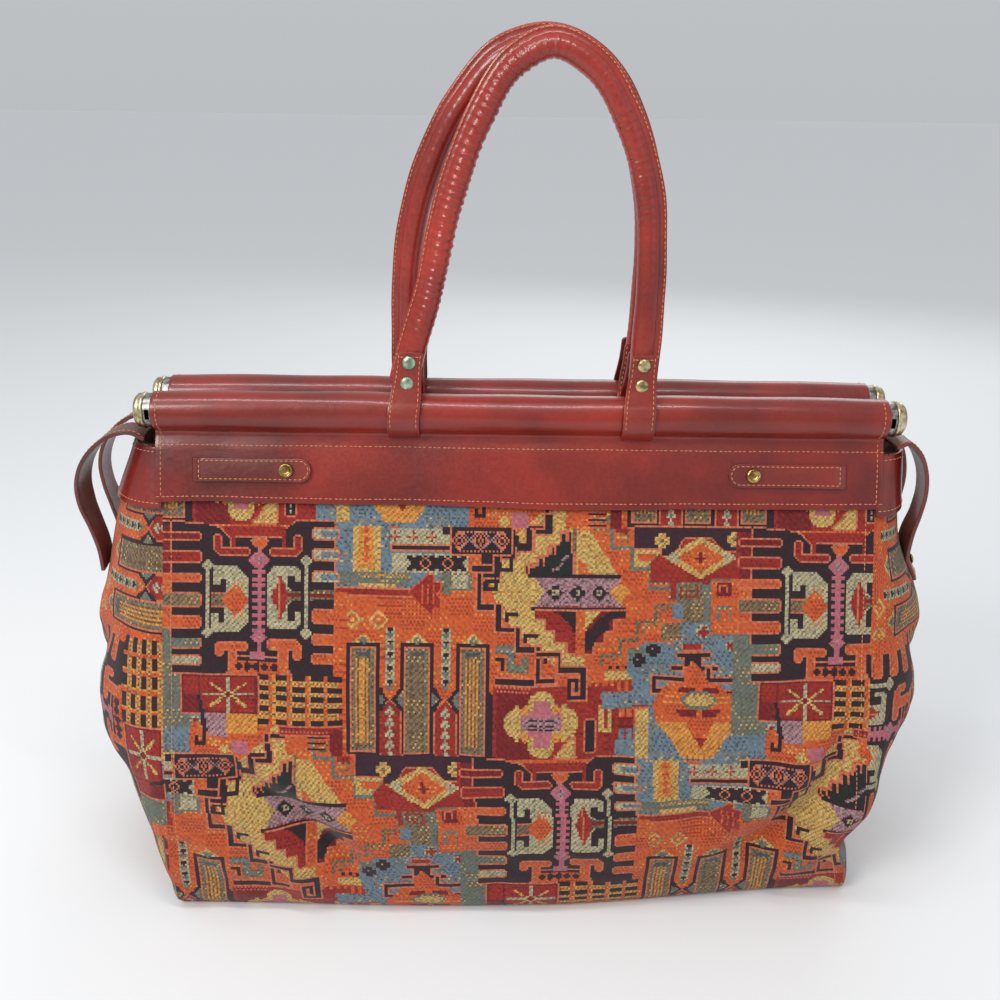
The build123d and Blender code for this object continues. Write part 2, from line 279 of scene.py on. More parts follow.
def orange_ground():
    """Orange ground round the diamond, with stepped key borders in teal and straw."""
    block("orange", 221, -6, 254, 18)
    shape("orange", (228, 18), (256, 18), (280, 56), (256, 78), (240, 98), (228, 98), (228, 60), (254, 50))
    block("tan", 221, -6, 223, 41)
    shape("straw", (223, 17), (231, 17), (247, 41), (223, 41))
    shape("orange", (225, 31), (233, 41), (225, 41))
    shape("orange", (232, 17), (244, 17), (244, 27), (250, 27), (250, 41), (247, 41))
    for step in range(4):
        left, top = 233 + 10.4 * step, 5 + 10.7 * step
        line("teal", 1.8, (left, top), (left, top + 10.7), (left + 10.4, top + 10.7))
        line("tan", 1.0, (left + 3, top + 3), (left + 8, top + 3), (left + 8, top + 7), (left + 4, top + 7))
        line("straw", 0.9, (left + 3, top + 4.5), (left + 6, top + 4.5))
    for step in range(4):
        left, top = 267 - 9.6 * step, 57 + 9 * step
        line("tan", 1.8, (left + 9, top), (left, top), (left, top + 9), (left - 9, top + 9))
        line("tan", 1.0, (left + 3, top + 7), (left + 3, top + 3), (left + 7, top + 3))
    block("red", 245, 2, 252, 18)
    dotted("straw", 234, 243, 3)
    dotted("straw", 234, 243, 7)
    block("straw", 254, 27, 270, 36)
    block("orange", 257, 29, 267, 33)
    shape("orange", (228, 92), (262, 86), (262, 104), (228, 104))
    block("straw", 240, 93, 262, 98)
    for left in (242, 246, 250):
        block("plum", left, 90, left + 2, 92)
    for left in range(233, 262, 4):
        block("red", left, 99, left + 2, 104)


def garden_of_stars():
    """Blue ground with eight-armed red stars, and a stepped black crown over an orange lobe."""
    shape("blue", (282, 64), (312, 64), (312, 76), (326, 80), (334, 104), (334, 142), (264, 142), (264, 112),
          (246, 113), (246, 108), (238, 108), (238, 104), (256, 104), (252, 92),
          (252, 84), (262, 76), (277, 76))
    block("teal", 252, 80, 262, 84)
    block("tan", 270, 66, 281, 75)
    block("blue", 276, 56, 282, 64)
    block("tan", 282, 56, 294, 66)
    for middle, row in ((258, 87), (266, 81)):
        plus("plum", middle, row, 4, half=1.6)
        block("cream", middle - 0.5, row - 0.5, middle + 0.5, row + 0.5)
    for middle, row in ((293, 71), (304, 71), (309, 79), (320, 79), (317, 89), (326, 101), (329, 113),
                        (331, 126)):
        plus("cream", middle, row, 3.5, half=1.9)
        plus("red", middle, row, 3.2, half=0.9)
        for tilt in (-2, 2):
            block("red", middle + tilt - 0.5, row + 1.5, middle + tilt + 0.5, row + 2.5)
            block("red", middle + tilt - 0.5, row - 2.5, middle + tilt + 0.5, row - 1.5)
    block("red", 282, 78.5, 292, 81.5, edge="edge")
    shape("plum", (279, 83), (297, 83), (297, 85), (292, 85), (292, 90), (301, 90), (301, 92.5), (276, 92.5),
          (276, 90), (283, 90), (283, 85), (279, 85), edge="edge")
    for side in (0, 1):
        mirrored = (lambda across: 580 - across) if side else (lambda across: across)
        line("plum", 2.4, *[(mirrored(a), d) for a, d in
                            ((284, 92), (284, 97), (267, 97), (267, 104), (273, 104))], edge="edge")
    shape("orange", (283, 100), (283, 91), (286, 89), (287, 86), (290, 89), (292, 91), (297, 100))
    shape("orange", (270, 104), (276, 99), (302, 99), (306, 104), (312, 104), (318, 112), (316, 122),
          (300, 126), (292, 133), (282, 124), (268, 121), (266, 112))
    for row, widen in ((102, 0), (103, 1), (115, 2), (117, 0)):
        block("oxblood", 281 - widen, row - 1, 301 + widen, row + 1.5)
    block("orange", 289, 99, 293, 105)
    block("orange", 290, 113, 293, 120)
    block("gold", 272, 106, 310, 107)
    block("gold", 272, 110, 310, 111)
    disc("teal", 291, 108.5, 10, 5.6)
    disc("straw", 291, 108.5, 8, 4)
    shape("gold", (268, 121), (316, 121), (306, 129), (299, 140), (282, 140), (276, 129))
    shape("orange", (284, 120), (300, 120), (296, 128), (292, 133), (288, 128))
    shape("red", (289, 129), (296, 129), (292.5, 134))


def aubergine_band():
    """A dark band with two straw clovers, over a gold lozenge on red with key squares."""
    shape("red", (264, 34), (272, 27), (318, 27), (318, 46), (303, 46), (303, 44), (282, 54), (275, 54),
          (275, 44), (264, 44), edge="tan")
    shape("aubergine", (255, 14), (318, 14), (318, 26), (304, 27), (296, 20), (282, 20), (276, 30), (270, 30),
          (270, 26), (255, 26), edge="edge")
    for middle, row in ((270, 22), (309, 21)):
        plus("straw", middle, row, 4.4, half=2.2)
        block("tan", middle - 1, row - 1, middle + 1, row + 1)
    lozenge("straw", 291, 31, 20, 11.5)
    shape("cream", (272, 30), (279, 28), (279, 35))
    shape("cream", (311, 30), (304, 28), (304, 35))
    lozenge("orange", 291, 31, 12.5, 8)
    plus("oxblood", 291, 31.5, 3, half=0.9)
    block("tan", 279, 45, 292, 55, edge="teal")
    line("red", 1, (281, 53), (281, 47), (290, 47), (290, 53), (284, 53), (284, 50), (287, 50))
    block("teal", 293, 45, 297, 66)
    block("orange", 297, 43, 318, 72, edge="teal")
    block("oxblood", 300, 44, 309, 52)
    line("edge", 1, (302, 50), (302, 46), (306, 46), (306, 50))
    block("orange", 299, 53, 312, 56)
    line("teal", 1.5, (301, 64), (301, 58), (308, 58), (308, 64))
    shape("plum", (310, 52), (319, 52), (314.8, 56), (319, 60), (310, 60), (313.8, 56), edge="tan")


def tall_panels():
    """Three tall tan panels in black frames, with gold stripes, and the spears that stand between them."""
    block("orange", 98, 52, 181, 112)
    for left, middle in ((101, 110), (130, 139), (160, 169)):
        right = left + 18.5
        shape("plum", (left, 79), (right, 79), (right, 104), (right + 5, 109), (right, 114), (right, 141),
              (left, 141), (left, 114), (left - 5, 109), (left, 104))
        block("edge", left + 2, 81, right - 2, 139)
        block("tan", left + 3, 82, right - 3, 138)
        for row in range(84, 138, 3):
            for across in (left + 4, right - 5):
                block("teal", across, row, across + 1, row + 2)
        for row in range(86, 136, 4):
            for across in (left + 5.5, right - 6.5):
                block("moss", across, row, across + 1.2, row + 2)
        shape("straw", (middle - 6, 79), (middle - 3, 75.5), (middle, 72.5), (middle + 3, 75.5),
              (middle + 6, 79))
        lozenge("teal", middle, 77.5, 3, 2.4)
        shape("slate", (middle - 4.5, 84), (middle + 4.5, 84), (middle + 2.5, 86), (middle - 2.5, 86))
    for middle in (110, 169):
        for stripe in (-4, -2, 0, 2):
            block("gold", middle + stripe, 87, middle + stripe + 1.1, 134)
    for middle in (124.5, 154.5):
        for yarn, half, shoulder, tip in (("orange", 4.5, 103, 109), ("cream", 2.4, 99, 104)):
            shape(yarn, (middle - half, 70), (middle + half, 70), (middle + half, shoulder), (middle, tip),
                  (middle - half, shoulder))
        for row in range(70, 100, 7):
            shape("teal", (middle - 2.4, row + 3), (middle + 2.4, row + 3), (middle, row + 6))
            shape("plum", (middle - 2.2, row), (middle + 2.2, row), (middle, row + 3.4))
        shape("red", (middle, 110), (middle + 5.5, 116), (middle + 5.5, 141), (middle - 5.5, 141),
              (middle - 5.5, 116), edge="edge")
        for row in range(113, 140, 6):
            shape("cream", (middle, row), (middle + 3, row + 4), (middle, row + 6), (middle - 3, row + 4))
            shape("teal", (middle - 1, row + 3), (middle + 1, row + 3), (middle, row + 5))
    for left in (101, 130, 160):
        for knob, way in ((left, -1), (left + 18.5, 1)):
            if (knob, way) not in ((101, -1), (178.5, 1)):
                shape("plum", (knob - way, 101), (knob + 0.4 * way, 102.5), (knob + 4.6 * way, 109),
                      (knob + 0.4 * way, 115.5), (knob - way, 117))
                shape("teal", (knob - 1.8 * way, 104), (knob + 2.8 * way, 109), (knob - 1.8 * way, 114))
    block("edge", 100, 141, 180, 142)
    for middle in (104, 118):
        lozenge("straw", middle, 66, 5.5, 5)
        lozenge("orange", middle, 66, 3.6, 3.2)
        block("straw", middle - 1, 65, middle + 1, 67)
    for row in range(54, 66, 2):
        dotted("rust", 120, 152, row, step=2)


def blue_stair():
    """Slate steps that lead down from the cream field, over orange."""
    shape("orange", (152, 50), (171, 50), (183, 70), (204, 84), (212, 97), (181, 97), (181, 86), (152, 70))
    line("teal", 2.4, (154.5, 41), (154.5, 59), (164.5, 59), (164.5, 69.5), (176.5, 69.5), (176.5, 81.5),
         (189.5, 81.5), (189.5, 91.5), (197, 91.5), (197, 87), edge="tan")
    line("blue", 1.2, (164.5, 53), (164.5, 69.5), (176.5, 69.5), (176.5, 81.5), (189.5, 81.5), (189.5, 91))
    dotted("gold", 157, 164, 54)
    for row in (72, 74, 85, 95):
        dotted("gold", 166 + (row - 70), 174 + (row - 70), row)
    line("plum", 2.6, (178.5, 142), (178.5, 87), (185, 87), (185, 92))
    line("plum", 2.6, (180, 98.5), (213, 98.5), edge="edge")


def red_garden():
    """Red ground with the gold flower, a mauve heart with blue dashes, and combs and tallies at its side."""
    block("red", 180, 101, 246, 142)
    block("oxblood", 182, 104, 200, 142)
    dotted("edge", 181, 200, 101)
    dotted("edge", 182, 199, 103)
    disc("straw", 206, 121, 13, 12)
    for lobe_across, lobe_down, wide, deep in ((0, -11, 7, 7.5), (0, 12, 7, 7.5), (-12.5, 0, 7.5, 8),
                                               (12.5, 0, 7.5, 8)):
        disc("straw", 206 + lobe_across, 121 + lobe_down, wide, deep)
    for tilt_across in (-1, 1):
        for tilt_down in (-1, 1):
            block("straw", 205 + 12.5 * tilt_across, 120 + 8.5 * tilt_down, 207 + 12.5 * tilt_across,
                  123 + 8.5 * tilt_down)
            lozenge("gold", 206 + 8.5 * tilt_across, 121.5 + 7 * tilt_down, 3, 3)
    for half_wide, half_deep in ((4, 13), (11, 4.5), (6.5, 7)):
        block("pink", 206 - half_wide, 121 - half_deep, 206 + half_wide, 121 + half_deep)
    block("mauve", 196, 118, 216, 125)
    for row in (119, 122, 124):
        dotted("plum", 199, 213, row, step=3)
        dotted("plum", 200, 213, row, step=3)
    shape("straw", (224, 127), (224, 141), (212, 141), edge="edge")
    block("plum", 230, 120, 235, 137, edge="edge")
    for row in range(122, 136, 3):
        block("cream", 232, row, 233, row + 2)
    shape("straw", (237, 112), (244, 112), (244, 126), (237, 126))
    block("red", 240, 114, 241, 124)
    block("blue", 239, 104, 254, 114)
    block("teal", 246, 109, 254, 114)
    block("blue", 246, 122, 268, 142)
    block("oxblood", 244, 118, 256, 124)
    for left in (246, 250, 254):
        block("red", left, 113, left + 2, 130)
    block("red", 255, 105, 269, 113, edge="edge")
    line("edge", 1, (257, 111), (257, 108), (266, 108), (266, 111))
    block("straw", 257, 114, 268, 140)
    block("teal", 265, 114, 268, 140)


def comb_of_teeth():
    """The large black comb: teeth on both sides, a pink spine, and two cream hooks that face each other."""
    block("red", -2, 17, 22, 42)
    block("oxblood", 0, 17, 6, 44)
    block("orange", -4, 42, 10, 72)
    shape("red", (34, 17), (70, 17), (68, 24), (38, 24))
    shape("plum", (7, 14), (22, 15), (33, 18), (38, 23), (38, 30), (41, 30), (41, 23), (66, 23), (66, 30),
          (68, 30), (68, 18), (74, 13), (94, 13), (94, 97), (72, 97), (68, 90), (40, 90), (36, 97), (7, 97),
          edge="edge")
    for left, top, bottom, yarn in ((0, 21, 24, "oxblood"), (0, 31, 36, "red"), (0, 43, 47, "orange"),
                                    (0, 54, 60, "tan"), (0, 66, 71, "orange"), (6, 78, 83, "teal"),
                                    (0, 88, 92, "cream")):
        block(yarn, left, top, 22, bottom, edge="edge")
    block("teal", -3, 72, 6, 128)
    shape("teal", (2, 78), (7, 78), (7, 98), (12, 98), (17, 128), (6, 128))
    for top, bottom, yarn in ((18, 23, "cream"), (29, 34, "cream"), (41, 46, "cream"), (62, 68, "orange"),
                              (75, 80, "orange"), (86, 90, "orange")):
        block(yarn, 83, top, 96, bottom, edge="edge")
    for top, bottom in ((19, 22), (30, 33), (42, 45)):
        block("blue", 87, top, 96, bottom)
    block("tan", 28, 54, 36, 60, edge="edge")
    block("red", 39, 17, 41, 29)
    block("red", 66, 17, 68, 29)
    shape("red", (30, 22), (33, 22), (33, 29), (48, 29), (48, 32), (32, 32), (30, 29), edge="edge")
    shape("red", (76, 22), (73, 22), (73, 29), (60, 29), (60, 32), (74, 32), (76, 29), edge="edge")
    shape("orange", (31, 81), (47, 81), (47, 84), (41, 84), (41, 96), (38, 96), (38, 84), (34, 84), (34, 87),
          (31, 87), edge="edge")
    shape("orange", (59, 79), (74, 79), (76, 82), (76, 88), (73, 88), (73, 83), (69, 83), (69, 96), (65, 96),
          (65, 83), (59, 83), edge="edge")
    line("edge", 0.9, (42, 87.5), (49, 87.5))
    line("edge", 0.9, (57, 87.5), (64, 87.5))
    shape("cream", (29, 38), (42, 38), (48, 44), (48, 69), (43, 74), (28, 74), (28, 64), (32, 64), (32, 69),
          (35, 69), (35, 61), (37, 60), (37, 54), (36, 52), (36, 45), (33, 45), (33, 49), (29, 49))
    shape("cream", (60, 40), (62, 38), (74, 38), (76, 40), (76, 47), (73, 47), (73, 43), (69, 43), (69, 49),
          (72, 52), (72, 57), (69, 60), (69, 68), (73, 68), (73, 63), (76, 63), (76, 70), (74, 72), (60, 72),
          (58, 70), (58, 43))
    for across in (43, 47):
        dotted("gold", across - 5, across - 2, 52)
        block("gold", across - 3, 46, across - 2, 68)
    lozenge("orange", 41, 57, 7.5, 9)
    lozenge("red", 65, 55, 5, 13)
    block("edge", 64, 44, 65, 66)
    shape("tan", (68, 51), (72, 52), (95, 51), (95, 56), (72, 57), (68, 58), (70, 54.5))
    line("oxblood", 1.4, (70, 54), (96, 54))
    block("pink", 52, 28, 55, 88)
    for row in range(40, 74, 4):
        block("pink", 50, row, 57, row + 2)
    lozenge("pink", 53.5, 35, 5.5, 5.5)
    lozenge("mauve", 53.5, 35, 2.4, 2.6)
    lozenge("pink", 53.5, 77, 5, 5.5)
    lozenge("mauve", 53.5, 77, 2.2, 2.4)
    block("pink", 49, 85, 57, 89)
    shape("orange", (50, 24), (58, 24), (56, 28), (52, 28), edge="edge")
    for across, first, last in ((26, 37, 76), (79, 34, 76)):
        block("plum", across - 2.5, first, across + 2.5, last)
        block("cream", across - 1.2, first, across + 1.2, last)
        lozenge("cream", across, first + 1, 3, 3.5)
        lozenge("cream", across, last - 2, 3, 3.5)


def blocks_and_snowflake():
    """Under the comb: black diamonds on orange, black blocks on gold, and a cream snowflake on oxblood."""
    block("orange", 41, 90, 66, 96)
    for across in (43, 47.6, 52.4, 57.2, 62):
        lozenge("plum", across, 93, 2.5, 2.7)
    block("orange", 94, 52, 101, 142)
    block("gold", 52, 97, 97, 126)
    for left in (52, 62, 72, 82, 91):
        for top, bottom in ((97.5, 100), (103, 106), (109, 112), (115, 118), (122, 125)):
            block("plum", left, top, left + 7, bottom)
        block("orange", left + 7.5, 97, left + 9, 126)
    for row in (101, 107, 113, 119):
        dotted("straw", 52, 97, row)
        dotted("tan", 53, 97, row)
    block("oxblood", 12, 98, 52, 120, edge="edge")
    block("red", 13, 99, 21, 110)
    line("edge", 0.9, (14, 108), (14, 100), (19, 100), (19, 106), (16, 106))
    block("red", 22, 99, 51, 119)
    for turn in range(8):
        angle = turn * math.pi / 4
        for reach in range(3, 14, 2):
            across, down = 37 + reach * math.cos(angle), 109 + reach * 0.75 * math.sin(angle)
            block("straw" if turn % 2 else "cream", across - 1, down - 0.5, across + 1, down + 0.8)
    lozenge("oxblood", 37, 109, 2.6, 2.6)
    block("mauve", 22, 120, 36, 128)
    block("gold", 36, 120, 52, 130)
    shape("plum", (20, 110), (22, 110), (26, 130), (23, 130))
    block("red", 65, 126, 98, 130, edge="edge")
    dotted("edge", 66, 97, 128)
    block("orange", 68, 131, 79, 142)
    for row in range(131, 142, 3):
        block("plum", 80, row, 90, row + 1)
    block("oxblood", 92, 128, 98, 142)


def spear_and_rows():
    """The long red spear that crosses the orange, with its barbed head."""
    block("red", 95, 50, 136, 53, edge="edge")
    shape("red", (135, 51), (144, 41), (147, 41), (147, 45), (151, 45), (151, 50), (149, 52), (151, 54),
          (151, 59), (147, 59), (147, 63), (144, 61), edge="orange")
    for across in (141, 144, 147):
        block("orange", across, 47, across + 1, 57)


def ghost_figures():
    """Faint figures that the loom leaves in the plain fields: rows of picks in a second yarn, in patches."""
    across, down = np.meshgrid(np.arange(repeat_wide), np.arange(repeat_deep))
    patch = (across // 13 + 2 * (down // 9)) % 3
    for ground, second, kept, every in (
            ("orange", "rust", 0, 2), ("orange", "gold", 1, 3), ("red", "oxblood", 0, 2), ("red", "rust", 2, 3),
            ("blue", "tan", 1, 2), ("blue", "slate", 2, 3), ("straw", "gold", 0, 3), ("tan", "straw", 1, 3),
            ("teal", "straw", 2, 3)):
        picks = (down % 2 == 0) & ((across + down // 2) % every == 0)
        loom[(loom == yarns.index(ground)) & (patch == kept) & picks] = yarns.index(second)


block("red", 246, -8, 320, 30)
orange_ground()
field_of_columns()
blue_stair()
tall_panels()
red_garden()
garden_of_stars()
aubergine_band()
straw_diamond()
black_panel()
spear_and_rows()
comb_of_teeth()
blocks_and_snowflake()
ghost_figures()


def new_finish(name, roughness):
    """A new material, with its nodes, its links and its shader."""
    finish = bpy.data.materials.new(name)
    finish.use_nodes = True
    nodes, links = finish.node_tree.nodes, finish.node_tree.links
    shader = nodes["Principled BSDF"]
    shader.inputs["Roughness"].default_value = roughness
    return finish, nodes, links, shader


def add_node(nodes, kind, **values):
    """A shader node of a kind, with its sockets set by name. An underscore stands for a space."""
    node = nodes.new("ShaderNode" + kind)
    for socket, value in values.items():
        node.inputs[socket.replace("_", " ")].default_value = value
    return node


tapestry, nodes, links, cloth_shader = new_finish("tapestry_cloth", 0.88)
cloth_shader.inputs["Sheen Weight"].default_value = 0.12
cloth_shader.inputs["Sheen Roughness"].default_value = 0.5
cloth_shader.inputs["Specular IOR Level"].default_value = 0.25
yarn_colour = nodes.new("ShaderNodeAttribute")
yarn_colour.attribute_name = "yarn"
weave_place = nodes.new("ShaderNodeUVMap")
weave_place.uv_map = "weave"
twill = add_node(nodes, "TexWave", Scale=480, Distortion=1.2, Detail=1, Detail_Scale=3)
twill.bands_direction = "DIAGONAL"
slub = add_node(nodes, "TexNoise", Scale=900, Detail=2)
for texture in (twill, slub):
    links.new(weave_place.outputs["UV"], texture.inputs["Vector"])
shade, shade_slub = nodes.new("ShaderNodeMath"), nodes.new("ShaderNodeMath")
shade.operation = shade_slub.operation = "MULTIPLY_ADD"
shade.inputs[1].default_value = 0.34
shade.inputs[2].default_value = 0.62
shade_slub.inputs[1].default_value = 0.5
links.new(twill.outputs["Fac"], shade.inputs[0])
links.new(slub.outputs["Fac"], shade_slub.inputs[0])
links.new(shade.outputs[0], shade_slub.inputs[2])
tint = nodes.new("ShaderNodeVectorMath")
tint.operation = "SCALE"
links.new(yarn_colour.outputs["Color"], tint.inputs[0])
links.new(shade_slub.outputs[0], tint.inputs["Scale"])
links.new(tint.outputs[0], cloth_shader.inputs["Base Color"])
relief = nodes.new("ShaderNodeMath")
relief.operation = "ADD"
links.new(twill.outputs["Fac"], relief.inputs[0])
links.new(slub.outputs["Fac"], relief.inputs[1])
cloth_bump = add_node(nodes, "Bump", Strength=0.55, Distance=0.0004)
links.new(relief.outputs[0], cloth_bump.inputs["Height"])
links.new(cloth_bump.outputs["Normal"], cloth_shader.inputs["Normal"])


# ---------------------------------------------------------------- tapestry body
# Two side panels and two gussets, each cut from the tapestry with its interlining and sewn together at
# the corners and round the base. Together they are one lofted shell: straight at the front and back,
# rounded out at the ends, slack enough to sag and crease, and drawn in under the leather at the top. The
# gussets are cut crosswise from the cloth, and the lower right corner is slacker than the left.

panel_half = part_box("front_fabric_panel")[1].x
cloth_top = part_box("front_fabric_panel")[1].z
gusset_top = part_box("left_gusset")[1].z
belly = -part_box("front_fabric_panel")[0].y
base_half_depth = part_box("base_panel")[1].y
end_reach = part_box("right_gusset")[1].x - panel_half

half_depth_at = [(0.0, base_half_depth - 0.004), (0.004, base_half_depth), (0.030, belly - 0.001),
                 (0.070, belly - 0.001), (0.120, 0.103), (0.180, 0.084), (0.240, 0.062),
                 (cloth_top, 0.0388), (gusset_top, 0.0268)]
left_bulge_at = [(0.0, 0.006), (0.030, 0.020), (0.070, 0.040), (0.120, end_reach - 0.009),
                 (0.180, end_reach - 0.004), (0.240, 0.056), (0.300, 0.039), (gusset_top, 0.025)]
right_bulge_at = [(0.0, 0.006), (0.030, 0.012), (0.070, 0.014), (0.108, 0.028), (0.155, 0.053), (0.199, 0.058),
                  (0.240, 0.047), (0.267, 0.033), (0.300, 0.027), (gusset_top, 0.025)]
# creases: start and end along the panel and up, depth, half width, all in metres; negative depth is a ridge
front_creases = [
    ((-0.200, 0.118), (-0.118, 0.045), 0.0085, 0.012),
    ((-0.212, 0.100), (-0.150, 0.028), -0.0050, 0.014),
    ((-0.175, 0.120), (-0.095, 0.062), -0.0040, 0.016),
    ((0.236, 0.140), (0.168, 0.052), 0.0105, 0.013),
    ((0.214, 0.146), (0.138, 0.060), -0.0055, 0.018),
    ((0.250, 0.110), (0.206, 0.030), -0.0050, 0.013),
    ((0.120, 0.100), (0.190, 0.020), 0.0040, 0.014),
    ((-0.060, 0.050), (0.060, 0.035), 0.0022, 0.016),
    ((0.020, 0.190), (0.110, 0.178), 0.0016, 0.010),
    ((-0.235, 0.262), (-0.120, 0.250), 0.0013, 0.009),
    ((0.090, 0.262), (0.225, 0.248), 0.0015, 0.010),
    ((-0.246, 0.060), (-0.215, 0.012), 0.0040, 0.010),
]
end_creases = [
    ((-0.060, 0.215), (0.010, 0.095), 0.0060, 0.014), ((0.055, 0.200), (0.000, 0.080), 0.0050, 0.013),
    ((-0.080, 0.110), (-0.020, 0.025), 0.0045, 0.012), ((0.085, 0.100), (0.030, 0.020), 0.0045, 0.012),
    ((0.000, 0.330), (0.000, 0.235), 0.0080, 0.012),
]
# the lower right corner at the front: how far it is drawn back, pouched out and pinched in
corner_back, corner_pouch, corner_pinch = 0.024, 0.013, 0.008


def smooth_profile(points, height):
    """A smooth curve through (height, value) points, read at each height."""
    at, value = np.array(points).T
    slope = np.gradient(value, at)
    low = np.clip(np.searchsorted(at, height) - 1, 0, len(at) - 2)
    span = at[low + 1] - at[low]
    t = np.clip((height - at[low]) / span, 0, 1)
    return ((2 * t**3 - 3 * t**2 + 1) * value[low] + (t**3 - 2 * t**2 + t) * span * slope[low]
            + (3 * t**2 - 2 * t**3) * value[low + 1] + (t**3 - t**2) * span * slope[low + 1])


def run_along(line):
    """How far along a line each of its points lies."""
    return np.concatenate([[0], np.cumsum(np.hypot(*np.diff(line, axis=0).T))])


def ease(t):
    t = np.clip(t, 0, 1)
    return t * t * (3 - 2 * t)


def crease(across, height, start, end, depth, half_width):
    """How far a crease pulls the cloth in: a soft valley along a line, fading at both ends."""
    run = np.array([end[0] - start[0], end[1] - start[1]])
    length = np.hypot(*run)
    along = ((across - start[0]) * run[0] + (height - start[1]) * run[1]) / length**2
    aside = ((across - start[0]) * run[1] - (height - start[1]) * run[0]) / length
    bow = aside + 0.006 * np.sin(along * math.pi)
    fade = ease((along + 0.25) / 0.45) * ease((1.25 - along) / 0.45)
    return depth * np.exp(-(bow / half_width) ** 2) * fade


def settle(place, outward, height):
    """The sag, pull and creases that a slack bag takes as it stands."""
    x, y = place[:, 0].copy(), place[:, 1].copy()
    lower = ease((0.20 - height) / 0.16) * ease(height / 0.004 + 0.3)
    facing_front = ease((-y - 0.02) / 0.05)
    facing_back = ease((y - 0.02) / 0.05)
    push = np.zeros(len(x))
    for start, end, depth, half_width in front_creases:
        push -= facing_front * crease(x, height, start, end, depth, half_width)
        behind = [(-across * 0.9 + 0.02, up) for across, up in (start, end)]
        push -= 0.8 * facing_back * crease(x, height, *behind, depth, half_width)
    for side in (-1, 1):
        end_face = ease((side * x - panel_half) / 0.03)
        for start, end, depth, half_width in end_creases:
            push -= end_face * crease(y, height, start, end, depth, half_width)
    slack = ease((0.285 - height) / 0.12) * ease(height / 0.03)
    push += slack * (0.0016 * np.sin(31 * x + 23 * height + 1.3) * np.sin(47 * height - 12 * x + y * 30)
                     + 0.0009 * np.sin(83 * x - 61 * height + 50 * y) * np.sin(29 * x + 95 * height)
                     + 0.0004 * np.sin(190 * x + 140 * height) * np.sin(170 * height - 90 * x + 120 * y))
    push += 0.0045 * ease(1 - abs(x) / panel_half) * np.sin(np.clip(height / cloth_top, 0, 1) * math.pi) ** 1.4
    push *= ease(height / 0.022)
    place[:, :2] += outward[:, :2] * push[:, None]
    drawn_back = ease((x - 0.01) / 0.25) * ease((0.125 - height) / 0.125) * ease((-y) / 0.10)
    place[:, 1] += corner_back * drawn_back
    pouch = np.exp(-((x - 0.262) / 0.040) ** 2 - ((y + 0.066) / 0.05) ** 2) * ease((0.052 - height) / 0.05)
    place[:, 0] += corner_pouch * pouch
    pinch = np.exp(-((x - 0.250) / 0.030) ** 2 - ((height - 0.058) / 0.026) ** 2) * ease(-y / 0.10)
    place[:, 0] -= corner_pinch * pinch
    place[:, 2] += 0.0015 * lower * np.sin(20 * x)
    return place


def shell(turn, height, inset=0.0):
    """A place on the body. turn runs 0 to 1 along the front from left to right, 1 to 2 round the right end,
    2 to 3 along the back and 3 to 4 round the left end; inset moves it inwards."""
    part, share = np.floor(turn).astype(int) % 4, turn - np.floor(turn)
    depth = smooth_profile(half_depth_at, height) - inset
    bulge = np.where(part == 1, smooth_profile(right_bulge_at, height),
                     smooth_profile(left_bulge_at, height)) - inset
    part = np.where((turn >= 4), 3, part)
    share = np.where((turn >= 4), 1.0, share)
    half_turn = (share - 0.5) * math.pi
    x = np.select([part == 0, part == 1, part == 2],
                  [(2 * share - 1) * panel_half, panel_half + bulge * np.cos(half_turn),
                   (1 - 2 * share) * panel_half], -panel_half - bulge * np.cos(half_turn))
    y = np.select([part == 0, part == 1, part == 2],
                  [-depth, depth * np.sin(half_turn), depth], -depth * np.sin(half_turn))
    end_on = np.clip((abs(x) - panel_half) / np.maximum(bulge, 0.001), 0, 1)
    outward = np.stack([np.sign(x) * end_on, np.sign(y) * np.sqrt(1 - end_on**2), 0 * x], axis=1)
    return settle(np.stack([x, y, height + 0 * x], axis=1), outward, height)


def smooth_object(bm, name):
    """A smooth-shaded object made from a bmesh, which is then freed."""
    mesh = bpy.data.meshes.new(name)
    bm.to_mesh(mesh)
    bm.free()
    mesh.polygons.foreach_set("use_smooth", np.ones(len(mesh.polygons), bool))
    piece = bpy.data.objects.new(name, mesh)
    bpy.context.scene.collection.objects.link(piece)
    return piece


def grid_piece(name, columns, rows, place):
    """A flat grid of cells, columns wide and rows deep, laid on place(across, down), both from 0 to 1."""
    bm = bmesh.new()
    bmesh.ops.create_grid(bm, x_segments=columns, y_segments=rows, size=0.5)
    piece = smooth_object(bm, name)
    flat = np.zeros(len(piece.data.vertices) * 3)
    piece.data.vertices.foreach_get("co", flat)
    across, down = flat[0::3] + 0.5, 0.5 - flat[1::3]
    piece.data.vertices.foreach_set("co", place(across, down).ravel())
    piece.data.update()
    return piece


